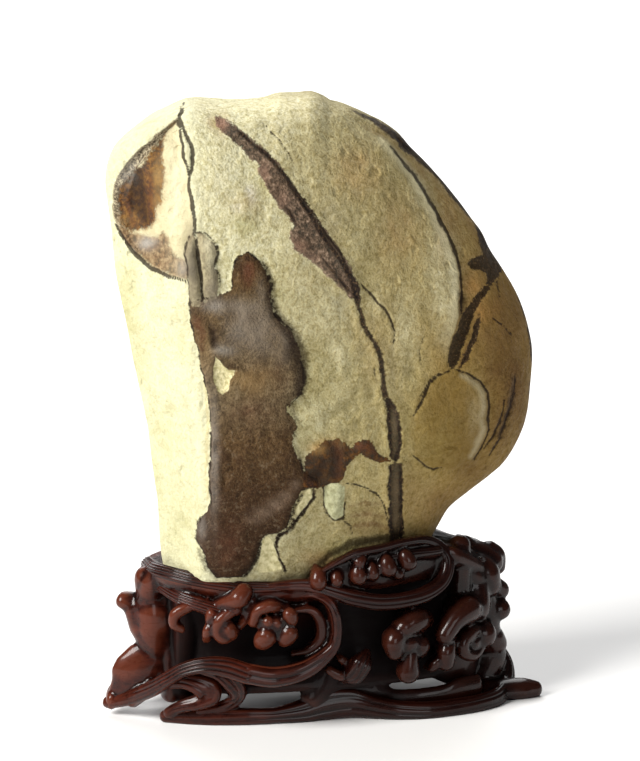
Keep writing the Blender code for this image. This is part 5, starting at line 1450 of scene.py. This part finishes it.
def lay_pale_stone(tree, noises, colour):
    """The figure's hole, the pale slips at its foot, and the pebble."""
    for name, stops in (("pale", PALE_RAMP), ("pebble", PEBBLE_RAMP)):
        colour = lay(tree, noises, colour, name, 1.0, ramp(tree, noises["mottle"], stops))
    return colour


def stone_finish():
    """Dry buff stone: nearly matt, a little rough, and rougher on its brown inclusions."""
    material, tree, shader = new_material("buff stone with brown inclusions")
    noises = stone_noises(tree)
    colour = ground_colour(tree, noises)
    for lay_next in (lay_ledge, lay_fan, lay_figure, lay_vein, lay_pale_stone):
        colour = lay_next(tree, noises, colour)
    tree.links.new(colour, shader.inputs["Base Color"])
    mottle, patchy, fine = noises["mottle"], noises["patchy"], noises["fine"]
    tree.links.new(between(tree, mottle, 0.3, 0.7, 0.66, 0.86), shader.inputs["Roughness"])
    band, rim, figure = (mask(tree, noises, name, 0.5, *CLEAN_EDGE) for name in ("band", "rim", "figure"))
    brown = reckon(tree, "MAXIMUM", band, reckon(tree, "MAXIMUM", rim, figure))
    surface = reckon(tree, "MULTIPLY_ADD", patchy, 1.8, reckon(tree, "MULTIPLY", mottle, 0.7))
    surface = reckon(tree, "MULTIPLY_ADD", fine, reckon(tree, "MULTIPLY_ADD", brown, 0.7, 0.18), surface)
    bump(tree, shader, surface, 1.0, 0.001)
    shader.inputs["Specular IOR Level"].default_value = 0.2
    return material


# ---------------------------------------------------------------- the wood's finish
GRAIN_STRETCH, GRAIN_NOISE = (0.16, 1, 1), (420, 5, 0.62, 0.6)
BROAD_STRETCH, BROAD_NOISE = (0.4, 1, 1), (60, 3)
WOOD_RAMP = [(0.36, "170503"), (0.5, "280b05"), (0.64, "3e1409")]
WOOD_CREST = "62301f"
WOOD_PAINTED_SHADE = "0f0403"
WOOD_PAINTED_HOLLOW_SHADE = "0b0403"
WOOD_PAINTED_RECESS_SHADE = "070202"


def wood_finish():
    """Dark hardwood, waxed, rubbed paler and redder on the crests, with painted shade: near black in the
    recesses and hollows, and darker toward the right.
    """
    material, tree, shader = new_material("polished dark hardwood")
    grain = cloud(tree, stretched(tree, GRAIN_STRETCH), *GRAIN_NOISE)
    broad = cloud(tree, stretched(tree, BROAD_STRETCH), *BROAD_NOISE)
    hollow, shaded_recess = marking(tree, "hollow"), marking(tree, "shaded_recess")
    mixed = reckon(tree, "MULTIPLY_ADD", broad, 0.5, reckon(tree, "MULTIPLY", grain, 0.5))
    side = place(tree, "SeparateXYZ", None, {0: stretched(tree, (1, 1, 1))}).outputs[0]
    colour = ramp(tree, mixed, WOOD_RAMP)
    colour = layer(tree, between(tree, hollow, 0.46, 0.2, 0.0, 0.55), colour, paint(WOOD_CREST))
    # Painted shade: the wood darker toward its right, away from the light.
    colour = layer(tree, between(tree, side, -0.06, 0.04, 0.0, 0.8), colour, paint(WOOD_PAINTED_SHADE))
    # Painted shade in the grooves and hollows.
    colour = layer(tree, between(tree, hollow, 0.52, 0.85, 0.0, 0.85), colour, paint(WOOD_PAINTED_HOLLOW_SHADE))
    # Painted shade: the sunk wall, the gap and the seat near black.
    colour = cover(tree, shaded_recess, 0.92, colour, paint(WOOD_PAINTED_RECESS_SHADE))
    tree.links.new(colour, shader.inputs["Base Color"])
    worn = reckon(tree, "MULTIPLY_ADD", shaded_recess, 0.4, between(tree, grain, 0.3, 0.7, 0.24, 0.38))
    tree.links.new(worn, shader.inputs["Roughness"])
    polish = reckon(tree, "MULTIPLY_ADD", shaded_recess, -0.26, 0.28)
    tree.links.new(polish, shader.inputs["Coat Weight"])
    bump(tree, shader, grain, 0.2, 0.0003)
    shader.inputs["Specular IOR Level"].default_value = 0.1
    shader.inputs["Coat Roughness"].default_value = 0.09
    return material


# ---------------------------------------------------------------- studio
SENSOR_WIDTH = 36.0
SIGHT_WIDTH = 380.5
OBJECT_MIDDLE = (0.0, 0.0, 0.15)
# Each lamp's name, place, aim, size, power and colour.
LAMPS = [
    ("key", (-3.66, -1.32, 3.0), OBJECT_MIDDLE, 2.2, 390, (1.0, 0.98, 0.95)),
    ("front fill", (0.3, -3.8, 1.2), OBJECT_MIDDLE, 1.6, 28, (1, 1, 1)),
    ("back wash", (0.6, 2.6, 3.4), (0.3, 0.9, 0.0), 3.0, 140, (1, 1, 1)),
    ("far wash", (0.0, 8.0, 3.4), (0.0, 8.5, 0.0), 6.0, 600, (1, 1, 1))]
AIR_COLOUR, AIR_STRENGTH = (1.0, 0.99, 0.97, 1.0), 0.08
FLOOR_SIZE = 24.0
FLOOR_RAMP = [(0.3, "eeeeee"), (0.7, "f2f2f1")]


def set_camera():
    camera = bpy.data.objects.new("camera", bpy.data.cameras.new("camera"))
    bpy.context.scene.collection.objects.link(camera)
    turn = Matrix((SHEET_RIGHT, SHEET_UP, SHEET_OUT)).transposed()
    camera.matrix_world = Matrix.Translation(Vector(EYE * MILLIMETRE)) @ turn.to_4x4()
    camera.data.sensor_width = SENSOR_WIDTH
    camera.data.lens = SENSOR_WIDTH * EYE_DISTANCE / SIGHT_WIDTH
    camera.data.clip_start, camera.data.clip_end = 0.05, 20.0
    bpy.context.scene.camera = camera


def add_lamp(name, spot, aim, size, power, colour):
    lamp = bpy.data.objects.new(name, bpy.data.lights.new(name, "AREA"))
    bpy.context.scene.collection.objects.link(lamp)
    lamp.location = spot
    lamp.rotation_euler = (Vector(aim) - Vector(spot)).to_track_quat("-Z", "Y").to_euler()
    lamp.data.size = size
    lamp.data.energy = power
    lamp.data.color = colour


def set_studio():
    """Soft light, a little air, and a plain pale floor."""
    world = bpy.data.worlds.new("studio air")
    bpy.context.scene.world = world
    world.use_nodes = True
    backdrop = world.node_tree.nodes["Background"]
    backdrop.inputs["Color"].default_value = AIR_COLOUR
    backdrop.inputs["Strength"].default_value = AIR_STRENGTH
    for lamp in LAMPS:
        add_lamp(*lamp)
    bpy.context.scene.view_settings.view_transform = "Standard"
    bpy.ops.mesh.primitive_plane_add(size=FLOOR_SIZE)
    floor = bpy.context.object
    floor.name = floor.data.name = "pale_floor"
    material, tree, shader = new_material("pale floor")
    mist = cloud(tree, stretched(tree, (1, 1, 1)), 3, 2)
    tree.links.new(ramp(tree, mist, FLOOR_RAMP), shader.inputs["Base Color"])
    shader.inputs["Roughness"].default_value = 0.9
    floor.data.materials.append(material)


bpy.ops.object.select_all(action="DESELECT")
make_rock(stone_finish())
make_stand(wood_finish())
set_camera()
set_studio()
